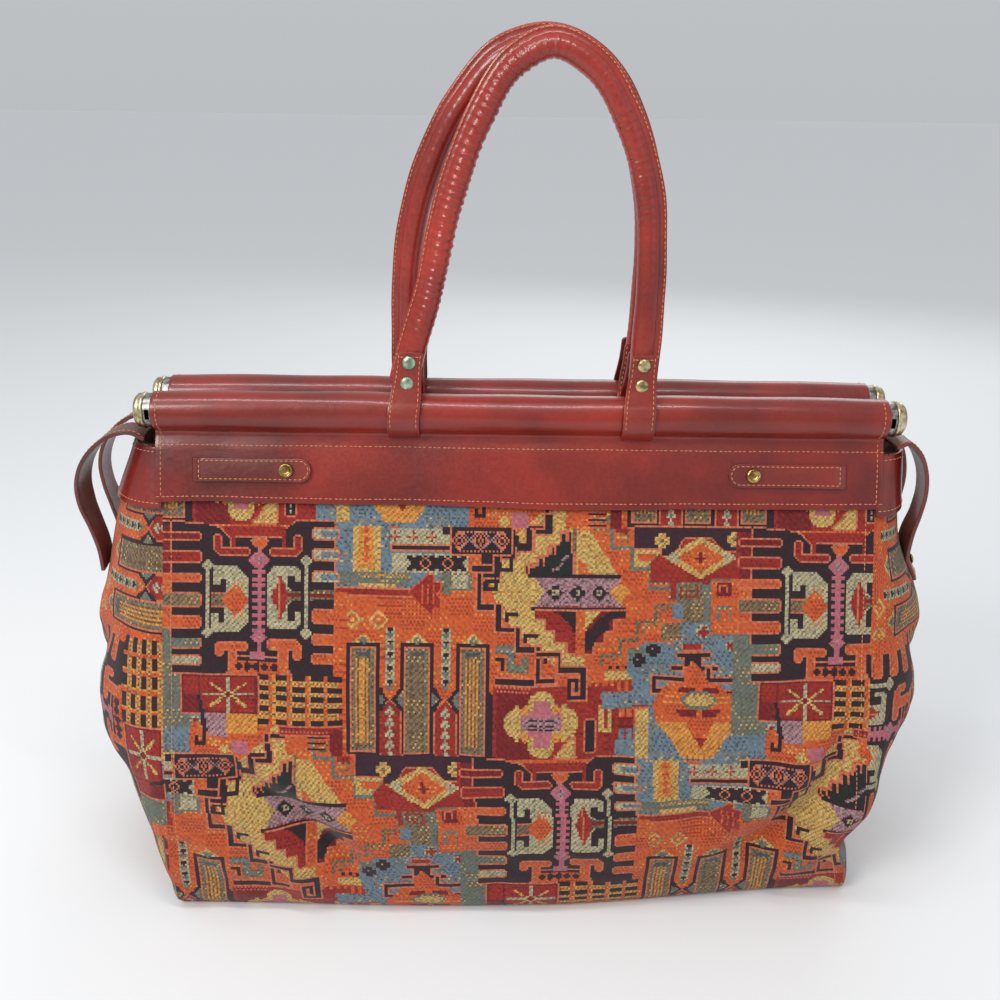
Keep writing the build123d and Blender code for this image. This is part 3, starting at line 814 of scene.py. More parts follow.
def lay_pattern(piece, columns, rows, first_across, first_down, across_cells, down_cells, pulled=0.0,
                crosswise=False):
    """Gives each cell of a grid its yarn's colour, with flecks of a second yarn, and its place in the weave.
    pulled is how many cells the lower half of the cloth has been drawn to the right. A crosswise piece was
    cut a quarter turn round, so that the pattern's width runs up it."""
    mesh = piece.data
    rng = np.random.default_rng(11)
    down, across = np.divmod(np.arange(columns * rows), columns)
    share_across, share_down = (across + 0.5) / columns, 1 - (down + 0.5) / rows
    if crosswise:
        share_across, share_down = share_down, share_across
    drawn = pulled * ease((share_down - 0.56) / 0.2)
    across = np.floor(first_across + share_across * across_cells - drawn).astype(int)
    down = np.floor(first_down + share_down * down_cells).astype(int)
    step = np.floor_divide(down, repeat_deep)
    picked = loom[down - step * repeat_deep, (across - step * drop) % repeat_wide]
    colour_of = np.array([dyed(*yarn_colours[y]) for y in yarns])
    second_of = np.array([dyed(*yarn_colours[flecked_with.get(y, y)]) for y in yarns])
    colour, second = colour_of[picked], second_of[picked]
    loose = np.isin(picked, [yarns.index(y) for y in ("straw", "cream", "tan", "gold", "teal", "mauve")])
    on_twill = np.where(loose, (across + down) % 3 == 0, (across - down) % 4 == 0)
    fleck = np.where(on_twill, np.where(loose, 0.52, 0.34), 0.0)
    fleck = np.clip(fleck + np.where(rng.random(len(picked)) < np.where(loose, 0.20, 0.10), 0.45, 0.0), 0, 0.85)
    colour = colour * (1 - fleck[:, None]) + second * fleck[:, None]
    slubby = np.sin(down * 0.9 + 3 * np.sin(across * 0.021)) * np.sin(down * 0.37 + across * 0.013)
    colour = colour * (1 + rng.normal(0, 0.10, len(picked)) + 0.05 * slubby)[:, None]
    yarn = mesh.attributes.new("yarn", "FLOAT_COLOR", "FACE")
    rgba = np.concatenate([np.clip(colour, 0, 1), np.ones((len(picked), 1))], axis=1)
    yarn.data.foreach_set("color", rgba.astype(np.float32).ravel())
    corner = np.zeros(len(mesh.loops), int)
    mesh.loops.foreach_get("vertex_index", corner)
    uv = mesh.uv_layers.new(name="weave")
    row_of, column_of = np.divmod(corner, columns + 1)
    if crosswise:
        across_cells, down_cells = down_cells, -across_cells
    place = np.stack([column_of * across_cells / columns, row_of * down_cells / rows], axis=1) * cell
    uv.data.foreach_set("uv", place.astype(np.float32).ravel())
    mesh.materials.append(tapestry)


panel_cells, cloth_cells = 382, 241
back_columns, back_rows = 286, 180
gusset_columns, gusset_rows = 84, 240
base_columns, base_rows = 190, 80
short_of_corner = 0.999999      # keeps the last column on its own side of a corner seam


def panel_place(start_turn):
    arc = np.linspace(cloth_top, 0.0, 400)
    run = run_along(np.stack([arc, smooth_profile(half_depth_at, arc)], axis=1))

    def place(across, down):
        height = np.interp(down * run[-1], run, arc)
        return shell(start_turn + across, height)
    return place


def shell_place(start, finish, top, bottom, inset=0.0):
    """A stretch of the shell, from one turn to another and from its top down to its bottom."""
    def place(across, down):
        share = np.clip(across, 0, short_of_corner)
        return shell(start + (finish - start) * share, top - (top - bottom) * down, inset=inset)
    return place


front_tapestry = grid_piece("front_tapestry", panel_cells, cloth_cells, panel_place(0))
lay_pattern(front_tapestry, panel_cells, cloth_cells, 1.5, 0, panel_cells, 249, pulled=3.6)
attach(front_tapestry, "front_side")
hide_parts("front_fabric_panel")

back_tapestry = grid_piece("back_tapestry", back_columns, back_rows, panel_place(2))
lay_pattern(back_tapestry, back_columns, back_rows, 75, 40, panel_cells, cloth_cells)
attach(back_tapestry, "back_side")
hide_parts("back_fabric_panel")

ends = (("right", "front", 1.0, 1.5), ("right", "back", 1.5, 2.0), ("left", "back", 3.0, 3.5),
        ("left", "front", 3.5, 4.0))
for end, side, start, finish in ends:
    half = grid_piece(f"{end}_gusset_{side}_half", gusset_columns, gusset_rows,
                      shell_place(start, finish, gusset_top, 0))
    first_row = 60 + 168 * (start - 1) if end == "right" else 121 - 168 * (4 - start)
    lay_pattern(half, gusset_columns, gusset_rows, 196, first_row, -258, 84, crosswise=True)
    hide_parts(f"{end}_gusset")
    toward = -1 if side == "front" else 1
    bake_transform(half)


def base_place(across, down):
    """The base, out to the lower edge of the shell, with its rim turned up inside."""
    out = 2 * across - 1, 1 - 2 * down
    far = np.maximum(abs(out[0]), abs(out[1]))
    depth = base_half_depth - 0.005
    y = out[1] * depth
    x = out[0] * (panel_half + 0.006 * np.sqrt(np.clip(1 - out[1] ** 2, 0, 1)))
    low = settle(np.stack([x, y, 0 * x], axis=1), np.stack([0 * x, 0 * x, 0 * x], axis=1), 0 * x)
    low[:, 2] = 0.0008 + 0.009 * ease((far - 0.965) / 0.035)
    return low


base_tapestry = grid_piece("base_tapestry", base_columns, base_rows, base_place)
base_tapestry.data.flip_normals()
lay_pattern(base_tapestry, base_columns, base_rows, 0, 240, 390, 162)
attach(base_tapestry, "base")
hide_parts("base_panel")


# ---------------------------------------------------------------- lining
# A plain brown cotton lining, seamed like the shell and hung 3 mm inside it, so that the bag is finished
# where the mouth opens. The stiffening board lies on it over the base.

lining_inset, lining_low = 0.003, 0.004
lining_cotton, nodes, links, lining_shader = new_finish("lining_cotton", 0.93)
lining_threads = add_node(nodes, "TexNoise", Scale=700)
lining_colour = nodes.new("ShaderNodeMix")
lining_colour.data_type = "RGBA"
lining_colour.inputs[6].default_value = (*dyed(74, 52, 40), 1)
lining_colour.inputs[7].default_value = (*dyed(104, 78, 58), 1)
place_in_room = nodes.new("ShaderNodeTexCoord")
links.new(place_in_room.outputs["Object"], lining_threads.inputs["Vector"])
links.new(lining_threads.outputs["Fac"], lining_colour.inputs[0])
links.new(lining_colour.outputs[2], lining_shader.inputs["Base Color"])
lining_bump = add_node(nodes, "Bump", Strength=0.3, Distance=0.0003)
links.new(lining_threads.outputs["Fac"], lining_bump.inputs["Height"])
links.new(lining_bump.outputs["Normal"], lining_shader.inputs["Normal"])

for side, start in (("front", 0), ("back", 2)):
    lining = grid_piece(f"{side}_lining", 90, 60,
                        shell_place(start, start + 1, cloth_top, lining_low, inset=lining_inset))
    lining.data.flip_normals()
    lining.data.materials.append(lining_cotton)
    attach(lining, f"{side}_side")
for end, side, start, finish in ends:
    lining = grid_piece(f"{end}_lining_{side}_half", 20, 60,
                        shell_place(start, finish, gusset_top, lining_low, inset=lining_inset))
    lining.data.flip_normals()
    lining.data.materials.append(lining_cotton)
    toward = -1 if side == "front" else 1
    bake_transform(lining)


def two_tone(nodes, low, high, first=0.0, last=1.0):
    """A ramp from one display colour to another."""
    ramp = nodes.new("ShaderNodeValToRGB")
    for element, at, colour in zip(ramp.color_ramp.elements, (first, last), (low, high)):
        element.position = at
        element.color = (*dyed(*colour), 1)
    return ramp


board_card, nodes, links, board_shader = new_finish("grey_board", 0.9)
board_fibre = add_node(nodes, "TexNoise", Scale=240)
board_ramp = two_tone(nodes, (112, 100, 86), (142, 130, 112))
links.new(board_fibre.outputs["Fac"], board_ramp.inputs["Fac"])
links.new(board_ramp.outputs["Color"], board_shader.inputs["Base Color"])
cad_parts["base_board"].material_slots[0].material = board_card


# ---------------------------------------------------------------- leather and its thread
# Full-grain cowhide dyed oxblood and glazed: fine grain, broad soft light on the rolls, darker and paler in
# broad random patches with fine darker specks. Every seam is sewn with a thick pale orange thread.


def tanned(name, dark, bright, crease_scale=28.0, rough=0.34):
    leather, nodes, links, shader = new_finish(name, rough)
    shader.inputs["Coat Weight"].default_value = 0.42
    shader.inputs["Coat Roughness"].default_value = 0.15
    shader.inputs["Specular IOR Level"].default_value = 0.45
    place = nodes.new("ShaderNodeTexCoord")
    cloudy = add_node(nodes, "TexNoise", Scale=16, Detail=5)
    pores = add_node(nodes, "TexNoise", Scale=420, Detail=3)
    grain = add_node(nodes, "TexVoronoi", Scale=950)
    wrinkle = add_node(nodes, "TexNoise", Scale=crease_scale, Detail=3, Distortion=0.8)
    for texture in (cloudy, pores, grain, wrinkle):
        links.new(place.outputs["Object"], texture.inputs["Vector"])
    ramp = two_tone(nodes, dark, bright, 0.30, 0.72)
    links.new(cloudy.outputs["Fac"], ramp.inputs["Fac"])
    pore_shade = nodes.new("ShaderNodeMix")
    pore_shade.data_type = "RGBA"
    pore_shade.blend_type = "MULTIPLY"
    pore_shade.inputs[0].default_value = 0.35
    links.new(ramp.outputs["Color"], pore_shade.inputs[6])
    links.new(pores.outputs["Fac"], pore_shade.inputs[7])
    links.new(pore_shade.outputs[2], shader.inputs["Base Color"])
    rough_by = add_node(nodes, "MapRange", From_Min=0.3, From_Max=0.7, To_Min=rough - 0.06,
                        To_Max=rough + 0.10)
    links.new(pores.outputs["Fac"], rough_by.inputs["Value"])
    links.new(rough_by.outputs["Result"], shader.inputs["Roughness"])
    fine = add_node(nodes, "Bump", Strength=0.16, Distance=0.0003)
    links.new(grain.outputs["Distance"], fine.inputs["Height"])
    broad = add_node(nodes, "Bump", Strength=0.28, Distance=0.0022)
    links.new(wrinkle.outputs["Fac"], broad.inputs["Height"])
    links.new(fine.outputs["Normal"], broad.inputs["Normal"])
    links.new(broad.outputs["Normal"], shader.inputs["Normal"])
    return leather


band_leather = tanned("band_leather", (98, 16, 8), (158, 36, 18))
strap_leather = tanned("strap_leather", (100, 22, 12), (152, 42, 24), crease_scale=60, rough=0.38)
grip_leather = tanned("grip_leather", (128, 26, 14), (178, 50, 30), crease_scale=90, rough=0.32)
end_leather = tanned("end_leather", (82, 32, 24), (128, 56, 44), crease_scale=80, rough=0.48)

sewing_thread, nodes, links, thread_shader = new_finish("sewing_thread", 0.7)
thread_shader.inputs["Sheen Weight"].default_value = 0.2
ply = add_node(nodes, "TexNoise", Scale=600)
ply_place = nodes.new("ShaderNodeTexCoord")
ply_ramp = two_tone(nodes, (170, 92, 54), (222, 150, 102))
links.new(ply_place.outputs["Object"], ply.inputs["Vector"])
links.new(ply.outputs["Fac"], ply_ramp.inputs["Fac"])
links.new(ply_ramp.outputs["Color"], thread_shader.inputs["Base Color"])

stitch_pitch, stitch_length, thread_thick = 0.0034, 0.0030, 0.0008


def sew(bm, place, corners, lift=0.0001):
    """Stitches along a line that runs corner to corner over a surface, each a small rounded thread."""
    walk = []
    for (a0, d0), (a1, d1) in zip(corners, corners[1:]):
        steps = np.linspace(0, 1, 500, endpoint=(a1, d1) == corners[-1])[:, None]
        walk.append(np.array([[a0, d0]]) + steps * np.array([[a1 - a0, d1 - d0]]))
    walk = np.concatenate(walk)
    points = place(walk[:, 0], walk[:, 1])
    tiny = 1e-4
    over = place(walk[:, 0] + tiny, walk[:, 1]) - place(walk[:, 0] - tiny, walk[:, 1])
    under = place(walk[:, 0], walk[:, 1] + tiny) - place(walk[:, 0], walk[:, 1] - tiny)
    outward = np.cross(under, over)
    outward /= np.linalg.norm(outward, axis=1)[:, None] + 1e-12
    run = np.concatenate([[0], np.cumsum(np.linalg.norm(np.diff(points, axis=0), axis=1))])
    count = max(2, int(run[-1] / stitch_pitch))
    for at in (np.arange(count) + 0.5) * run[-1] / count:
        i = min(int(np.searchsorted(run, at)), len(points) - 1)
        middle, up = Vector(points[i]), Vector(outward[i])
        ahead = Vector(points[min(i + 3, len(points) - 1)] - points[max(i - 3, 0)])
        ahead = (ahead - up * ahead.dot(up)).normalized()
        across = up.cross(ahead)
        turned = Matrix((ahead * stitch_length / 2, across * thread_thick / 2,
                         up * thread_thick / 2)).transposed()
        place_it = Matrix.Translation(middle + up * lift) @ turned.to_4x4()
        bmesh.ops.create_icosphere(bm, subdivisions=1, radius=1, matrix=place_it)


def stitching(name, body, seams):
    """One object for all the stitches of a piece: seams is a list of (place, corners)."""
    bm = bmesh.new()
    for place, corners in seams:
        sew(bm, place, corners)
    threads = smooth_object(bm, name)
    threads.data.materials.append(sewing_thread)
    if body:
        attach(threads, body)
    return threads


def leather_piece(name, columns, rows, place, thick, leather, edge=0.0004):
    """A cut of leather: a grid laid on its face, given its thickness behind it, with burnished round edges."""
    piece = grid_piece(name, columns, rows, place)
    wall = piece.modifiers.new("thickness", "SOLIDIFY")
    wall.thickness = thick
    wall.offset = -1
    rounded = piece.modifiers.new("edges", "BEVEL")
    rounded.width = edge
    rounded.segments = 2
    rounded.limit_method = "ANGLE"
    rounded.angle_limit = math.radians(60)
    piece.data.materials.append(leather)
    return piece


# ---------------------------------------------------------------- leather bands
# One long piece for each side: its upper part is rolled round the bar and sewn to itself just under the
# roll, and its lower part hangs down flat over the top of the tapestry, sewn near its edges.

bar_y = (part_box("back_bar_tube")[0].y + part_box("back_bar_tube")[1].y) / 2
bar_z = (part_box("back_bar_tube")[0].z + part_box("back_bar_tube")[1].z) / 2
roll_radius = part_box("back_leather_band")[1].z - bar_z
band_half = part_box("back_leather_band")[1].x
band_low_y, band_low_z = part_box("back_leather_band")[1].y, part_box("back_leather_band")[0].z
seam_y, seam_z = bar_y + 0.006, bar_z - 0.0128
skirt = math.hypot(band_low_y - seam_y, seam_z - band_low_z)

band_line = [(band_low_y, band_low_z), (seam_y + 0.004, seam_z - 0.0105), (seam_y, seam_z - 0.0012)]
for step in range(31):
    angle = math.radians(-58 + step * 10.2)
    band_line.append((bar_y + roll_radius * math.cos(angle), bar_z + roll_radius * math.sin(angle)))
band_line += [(seam_y - 0.0042, seam_z - 0.003), (seam_y + 0.0005, seam_z - 0.012)]
band_line = np.array(band_line)
band_run = run_along(band_line)


def band_place(toward):
    """The face of a band: down 0 is the tucked edge behind the roll, down 1 its lower edge over the cloth."""
    def place(across, down):
        along = (1 - down) * band_run[-1]
        y, z = np.interp(along, band_run, band_line[:, 0]), np.interp(along, band_run, band_line[:, 1])
        x = (2 * across - 1) * band_half
        on_skirt = ease((skirt - along) / 0.012)
        on_roll = ease((along - skirt - 0.004) / 0.01)
        wave = (0.0009 * np.sin(17 * x + 0.6) + 0.0005 * np.sin(41 * x + 2.1)
                + 0.0003 * np.sin(96 * x)) * on_skirt
        edge_sag = ease((0.012 - along) / 0.012)
        z = z - edge_sag * (0.0010 * np.sin(13 * x + 1.0) + 0.0006 * np.sin(37 * x))
        belly_out = 0.0012 * np.sin(np.clip(along / skirt, 0, 1) * math.pi) * on_skirt
        dent = on_roll * (0.00045 * np.sin(23 * x + 3 * z * 60) + 0.0003 * np.sin(61 * x + 1.7))
        for middle, wide in ((-0.080, 0.013), (0.080, 0.013)):
            dent = dent - 0.0006 * on_roll * np.exp(-((x - middle) / wide) ** 2)
        radial = np.stack([y - bar_y, z - bar_z], axis=1)
        radial /= np.linalg.norm(radial, axis=1)[:, None] + 1e-9
        y = y + wave + belly_out + radial[:, 0] * dent
        z = z + radial[:, 1] * dent
        return np.stack([-toward * x, toward * y, z], axis=1)
    return place


tuck = 1 - (skirt / band_run[-1])
edge_in = 0.0042
for side, toward in (("front", -1), ("back", 1)):
    face = band_place(toward)
    band = leather_piece(f"{side}_band", 190, 84, face, 0.0021, band_leather, edge=0.0005)
    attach(band, f"{side}_side")
    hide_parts(f"{side}_leather_band")
    inner, outer = edge_in / (2 * band_half), 1 - edge_in / (2 * band_half)
    low = 1 - 0.0040 / band_run[-1]
    under_roll = 1 - (skirt - 0.0095) / band_run[-1]
    over_roll = 1 - (skirt + 2.6 * roll_radius) / band_run[-1]
    stitching(f"{side}_band_stitching", f"{side}_side", [
        (face, [(0, low), (1, low)]), (face, [(0, under_roll), (1, under_roll)]),
        (face, [(inner, over_roll), (inner, low)]), (face, [(outer, over_roll), (outer, low)])])


# ---------------------------------------------------------------- bars and their caps
# Each bar is a steel tube inside the roll, closed at both ends by a pressed brass cap with a rounded rim,
# nickelled thin and worn. A notch in the tube's bare end shows as a dark window between cap and leather.


def plated(name, colour, worn, rough):
    metal, nodes, links, shader = new_finish(name, rough)
    shader.inputs["Metallic"].default_value = 1
    place = nodes.new("ShaderNodeTexCoord")
    tarnish = add_node(nodes, "TexNoise", Scale=260, Detail=4)
    ramp = two_tone(nodes, worn, colour, 0.38, 0.60)
    links.new(place.outputs["Object"], tarnish.inputs["Vector"])
    links.new(tarnish.outputs["Fac"], ramp.inputs["Fac"])
    links.new(ramp.outputs["Color"], shader.inputs["Base Color"])
    rubbed = add_node(nodes, "MapRange", To_Min=rough + 0.12, To_Max=rough - 0.08)
    links.new(tarnish.outputs["Fac"], rubbed.inputs["Value"])
    links.new(rubbed.outputs["Result"], shader.inputs["Roughness"])
    return metal


cap_metal = plated("cap_brass", (214, 200, 168), (150, 132, 96), 0.30)
rivet_metal = plated("rivet_brass", (214, 192, 138), (122, 122, 84), 0.26)
rivet_patina = plated("rivet_patina", (186, 200, 172), (112, 148, 124), 0.34)
snap_metal = plated("snap_brass", (196, 164, 104), (120, 92, 52), 0.26)
tube_steel = plated("tube_steel", (170, 168, 164), (96, 92, 88), 0.38)


def turned_part(name, outline, middle, axis, metal, steps=40):
    """A lathe-turned or pressed round part: an outline of (out from the axis, along it) spun once round."""
    bm = bmesh.new()
    ring = [bm.verts.new((out, 0, along)) for out, along in outline]
    edges = [bm.edges.new(pair) for pair in zip(ring, ring[1:])]
    bmesh.ops.spin(bm, geom=ring + edges, cent=(0, 0, 0), axis=(0, 0, 1), angle=2 * math.pi,
                   steps=steps, use_merge=True)
    bmesh.ops.remove_doubles(bm, verts=bm.verts, dist=1e-6)
    bmesh.ops.recalc_face_normals(bm, faces=bm.faces)
    turn = Vector((0, 0, 1)).rotation_difference(Vector(axis).normalized()).to_matrix().to_4x4()
    bmesh.ops.transform(bm, matrix=Matrix.Translation(Vector(middle)) @ turn, verts=bm.verts)
    part = smooth_object(bm, name)
    part.data.materials.append(metal)
    return part


cap_radius = (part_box("front_left_cap")[1].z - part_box("front_left_cap")[0].z) / 2
cap_inner, cap_outer = 0.2572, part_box("front_right_cap")[1].x
cap_deep = cap_outer - cap_inner
cap_outline = [(0, 0), (cap_radius - 0.0012, 0), (cap_radius - 0.0003, 0.0004), (cap_radius, 0.0014),
               (cap_radius - 0.0004, 0.0026), (cap_radius - 0.0010, 0.0033), (cap_radius - 0.0008, 0.0042),
               (cap_radius - 0.0010, cap_deep - 0.0024), (cap_radius - 0.0028, cap_deep - 0.0007),
               (cap_radius - 0.0050, cap_deep - 0.0001), (cap_radius - 0.0066, cap_deep - 0.0008),
               (0.0030, cap_deep - 0.0014), (0, cap_deep - 0.0015)]
for side, toward in (("front", -1), ("back", 1)):
    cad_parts[f"{side}_bar_tube"].material_slots[0].material = tube_steel
    for end, way in (("left", -1), ("right", 1)):
        cap = turned_part(f"{side}_{end}_end_cap", cap_outline, (way * cap_inner, toward * bar_y, bar_z),
                          (way, 0, 0), cap_metal, steps=48)
        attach(cap, f"{side}_side")
        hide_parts(f"{side}_{end}_cap")


# ---------------------------------------------------------------- leather over the gussets
# A shaped strip of the same leather binds the top of each gusset between the two bands.

strip_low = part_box("left_gusset_leather")[0].z
for end, side, start, finish in ends:
    place = shell_place(start, finish, gusset_top, strip_low, inset=-0.0032)
    strip = leather_piece(f"{end}_gusset_binding_{side}_half", 40, 24, place, 0.0024, band_leather)
    toward = -1 if side == "front" else 1
    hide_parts(f"{end}_gusset_leather")
    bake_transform(strip)
    threads = stitching(f"{end}_binding_stitching_{side}_half", None, [
        (place, [(0.02, 0.91), (0.98, 0.91)]), (place, [(0.02, 0.08), (0.98, 0.08)])])
    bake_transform(threads)


# ---------------------------------------------------------------- rolled handles
# Each handle is a strip of leather folded round a cord and sewn along its outer side, which leaves a flat
# stitched flange. The left leg of the front one has taken a set of fine cross wrinkles from the hand.

grip_radius = 0.0075
flange_out, flange_half = 0.0122, 0.0015
lean = math.radians(2.7)
handle_lines = {
    "front": [(-0.078, 0.022), (-0.073, 0.042), (-0.062, 0.077), (-0.047, 0.140), (-0.028, 0.190),
              (-0.007, 0.222), (0.016, 0.233), (0.040, 0.222), (0.0625, 0.190), (0.078, 0.145),
              (0.082, 0.100), (0.0815, 0.052), (0.0805, 0.022)],
    "back": [(-0.080, 0.022), (-0.079, 0.062), (-0.077, 0.100), (-0.065, 0.151), (-0.042, 0.198),
             (-0.014, 0.228), (0.013, 0.2355), (0.043, 0.224), (0.067, 0.190), (0.081, 0.140),
             (0.084, 0.080), (0.0815, 0.022)],
}
# once round the section, as (out towards the flange, sideways)
tongue = [(0.0078, 0.0019), (0.0100, flange_half + 0.0001), (flange_out - 0.0006, flange_half),
          (flange_out, 0.0008), (flange_out, -0.0008), (flange_out - 0.0006, -flange_half),
          (0.0100, -flange_half - 0.0001), (0.0078, -0.0019)]
grip_section = tongue + [(grip_radius * math.cos(math.radians(a)), -grip_radius * math.sin(math.radians(a)))
                         for a in range(22, 339, 12)]
grip_section = np.array(grip_section + grip_section[:1])
tongue_last = len(tongue) - 1


def handle_course(side):
    """Points along the middle line of a handle, with the run to each and the direction it goes."""
    corners = np.array(handle_lines[side])
    knots = run_along(corners)
    fine = np.linspace(0, knots[-1], 700)
    x = smooth_profile(np.stack([knots, corners[:, 0]], axis=1), fine)
    up = smooth_profile(np.stack([knots, corners[:, 1]], axis=1), fine)
    for _ in range(24):
        x[1:-1] = (x[:-2] + 2 * x[1:-1] + x[2:]) / 4
        up[1:-1] = (up[:-2] + 2 * up[1:-1] + up[2:]) / 4
    run = run_along(np.stack([x, up], axis=1))
    return run, x, up, np.gradient(x, run), np.gradient(up, run)


def grip_place(side, toward):
    run, x, up, go_x, go_up = handle_course(side)
    around = np.arange(len(grip_section))

    def place(across, down):
        along = down * run[-1]
        out = np.interp(across * around[-1], around, grip_section[:, 0])
        aside = np.interp(across * around[-1], around, grip_section[:, 1])
        angle = np.arctan2(aside, out)
        soft = 1 - np.exp(-(angle / 0.5) ** 2)
        swell = 1 + 0.02 * np.sin(along * 60) + 0.015 * np.sin(along * 143 + 1)
        if side == "front":
            creased = (ease((along - 0.02) / 0.04) * ease((0.27 - along) / 0.05)
                       + 0.60 * ease((along - 0.25) / 0.05) * ease((0.40 - along) / 0.06))
            pucker = np.sin(along / 0.0054 * 2 * math.pi + 1.7 * aside / grip_radius + 1.7 * np.sin(along * 95))
            pucker = pucker + 0.5 * np.sin(along / 0.0031 * 2 * math.pi - 2.2 * aside / grip_radius)
            swell = swell - soft * creased * (0.055 + 0.062 * pucker * (0.75 + 0.25 * np.sin(along * 211)))
        faint = np.sin(along / 0.0062 * 2 * math.pi + 2 * abs(angle) + 2.2 * np.sin(along * 70))
        swell = swell + soft * 0.006 * faint
        end_pinch = 1 - 0.30 * (ease((0.016 - along) / 0.016) + ease((along - run[-1] + 0.016) / 0.016))
        out, aside = out * swell, aside * swell * end_pinch
        tangent_x, tangent_up = np.interp(along, run, go_x), np.interp(along, run, go_up)
        norm = np.hypot(tangent_x, tangent_up)
        out_x, out_up = -tangent_up / norm, tangent_x / norm
        here_x = np.interp(along, run, x) + out_x * out
        here_up = np.interp(along, run, up) + out_up * out
        y = bar_y - here_up * math.sin(lean) + aside * math.cos(lean)
        z = bar_z + here_up * math.cos(lean) + aside * math.sin(lean)
        return np.stack([here_x, toward * y, z], axis=1)
    return place


for side, toward in (("front", -1), ("back", 1)):
    face = grip_place(side, toward)
    grip = grid_piece(f"{side}_grip", len(grip_section) - 1, 520, face)
    bm = bmesh.new()
    bm.from_mesh(grip.data)
    bmesh.ops.remove_doubles(bm, verts=bm.verts, dist=2e-5)
    bmesh.ops.holes_fill(bm, edges=[e for e in bm.edges if e.is_boundary], sides=0)
    bmesh.ops.recalc_face_normals(bm, faces=bm.faces)
    bm.to_mesh(grip.data)
    bm.free()
    grip.data.polygons.foreach_set("use_smooth", np.ones(len(grip.data.polygons), bool))
    grip.data.materials.append(grip_leather)
    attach(grip, f"{side}_handle")
    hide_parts(f"{side}_handle_grip")
    on_flange = 1.5 / (len(grip_section) - 1)
    far_flange = (tongue_last - 1.5) / (len(grip_section) - 1)
    stitching(f"{side}_grip_stitching", f"{side}_handle",
              [(face, [(on_flange, 0.01), (on_flange, 0.99)]), (face, [(far_flange, 0.01), (far_flange, 0.99)])])


# ---------------------------------------------------------------- handle loops and rivets
# A leather strap goes round the roll and up both faces of a handle's leg, sewn along its edges and closed
# through leg and strap by two double-capped rivets, whose plating has gone green and dull in places.

loop_half = (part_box("front_handle_right_loop")[1].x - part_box("front_handle_right_loop")[0].x) / 2
loop_ring = bar_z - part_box("front_handle_right_loop")[0].z
loop_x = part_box("front_handle_right_loop")[1].x - loop_half
ply_out, neck_top = 0.0098, 0.044
strap_thick, loop_corner = 0.0022, 0.003
loop_line = [(-ply_out + 0.0006, neck_top), (-ply_out, neck_top - 0.005), (-ply_out - 0.0004, 0.028),
             (-ply_out - 0.0010, 0.020), (-ply_out - 0.0028, 0.0145)]
loop_line += [(loop_ring * math.cos(math.radians(a)), loop_ring * math.sin(math.radians(a)))
              for a in range(144, 397, 9)]
loop_line += [(-y, z) for y, z in loop_line[4::-1]]
loop_line = np.array(loop_line)
loop_run = run_along(loop_line)


def loop_place(x_middle, toward, drift):
    """The face of a loop. It narrows up the neck, whose top leans aside by drift, and has round corners."""
    def place(across, down):
        along = down * loop_run[-1]
        y, up = np.interp(along, loop_run, loop_line[:, 0]), np.interp(along, loop_run, loop_line[:, 1])
        corner = np.clip((up - neck_top + loop_corner) / loop_corner, 0, 1)
        half = loop_half * (1 - 0.18 * ease((up - 0.008) / 0.026)) - loop_corner * (1 - np.sqrt(1 - corner**2))
        x = (2 * across - 1) * half
        y = y * (1 + 0.0005 * (1 - (2 * across - 1) ** 2) / np.maximum(np.hypot(y, up), 1e-6))
        turned_y = y * math.cos(lean) + up * math.sin(lean)
        turned_up = -y * math.sin(lean) + up * math.cos(lean)
        aside = x_middle + drift * np.clip(up / neck_top, 0, 1)
        return np.stack([aside - toward * x, toward * (bar_y - turned_y), bar_z + turned_up], axis=1)
    return place


rivet_outline = [(0, 0.0016), (0.0018, 0.0015), (0.0032, 0.0011), (0.0041, 0.0006), (0.0046, 0.0001),
                 (0.0046, -0.0004), (0.0020, -0.0006), (0.0, -0.0006)]
for side, toward in (("front", -1), ("back", 1)):
    loop_seams = []
    for leg, x_middle, drift in (("left", -loop_x, 0.0050), ("right", loop_x, 0.0022)):
        face = loop_place(x_middle, toward, drift)
        loop = leather_piece(f"{side}_{leg}_strap_loop", 12, 140, face, strap_thick, strap_leather)
        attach(loop, f"{side}_handle")
        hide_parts(f"{side}_handle_{leg}_loop")
        for edge_at in (0.10, 0.90):
            loop_seams.append((face, [(edge_at, 0.01), (edge_at, 0.36)]))
            loop_seams.append((face, [(edge_at, 0.64), (edge_at, 0.99)]))
        loop_seams.append((face, [(0.12, 0.022), (0.88, 0.022)]))
        for up in (0.023, 0.037):
            for face_way in (-1, 1):
                out = (ply_out + 0.0006) * face_way
                y = toward * bar_y + (out * math.cos(lean) + up * math.sin(lean)) * -toward
                z = bar_z - out * math.sin(lean) + up * math.cos(lean)
                rivet = turned_part(f"{side}_{leg}_rivet_{int(up * 1000)}_{'in' if face_way > 0 else 'out'}",
                                    rivet_outline, (x_middle + drift * up / neck_top, y, z),
                                    (0, -toward * face_way * math.cos(lean), -face_way * math.sin(lean)),
                                    rivet_patina if leg == "left" else rivet_metal, steps=24)
                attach(rivet, f"{side}_handle")
                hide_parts(f"{side}_handle_rivets")
    stitching(f"{side}_loop_stitching", f"{side}_handle", loop_seams)


# ---------------------------------------------------------------- snap tabs
# Two short tabs come out of slots in the front band and lie along it, round at the free end, where a snap
# with a raised ring and a dished middle holds each to its stud. They are sewn all round.

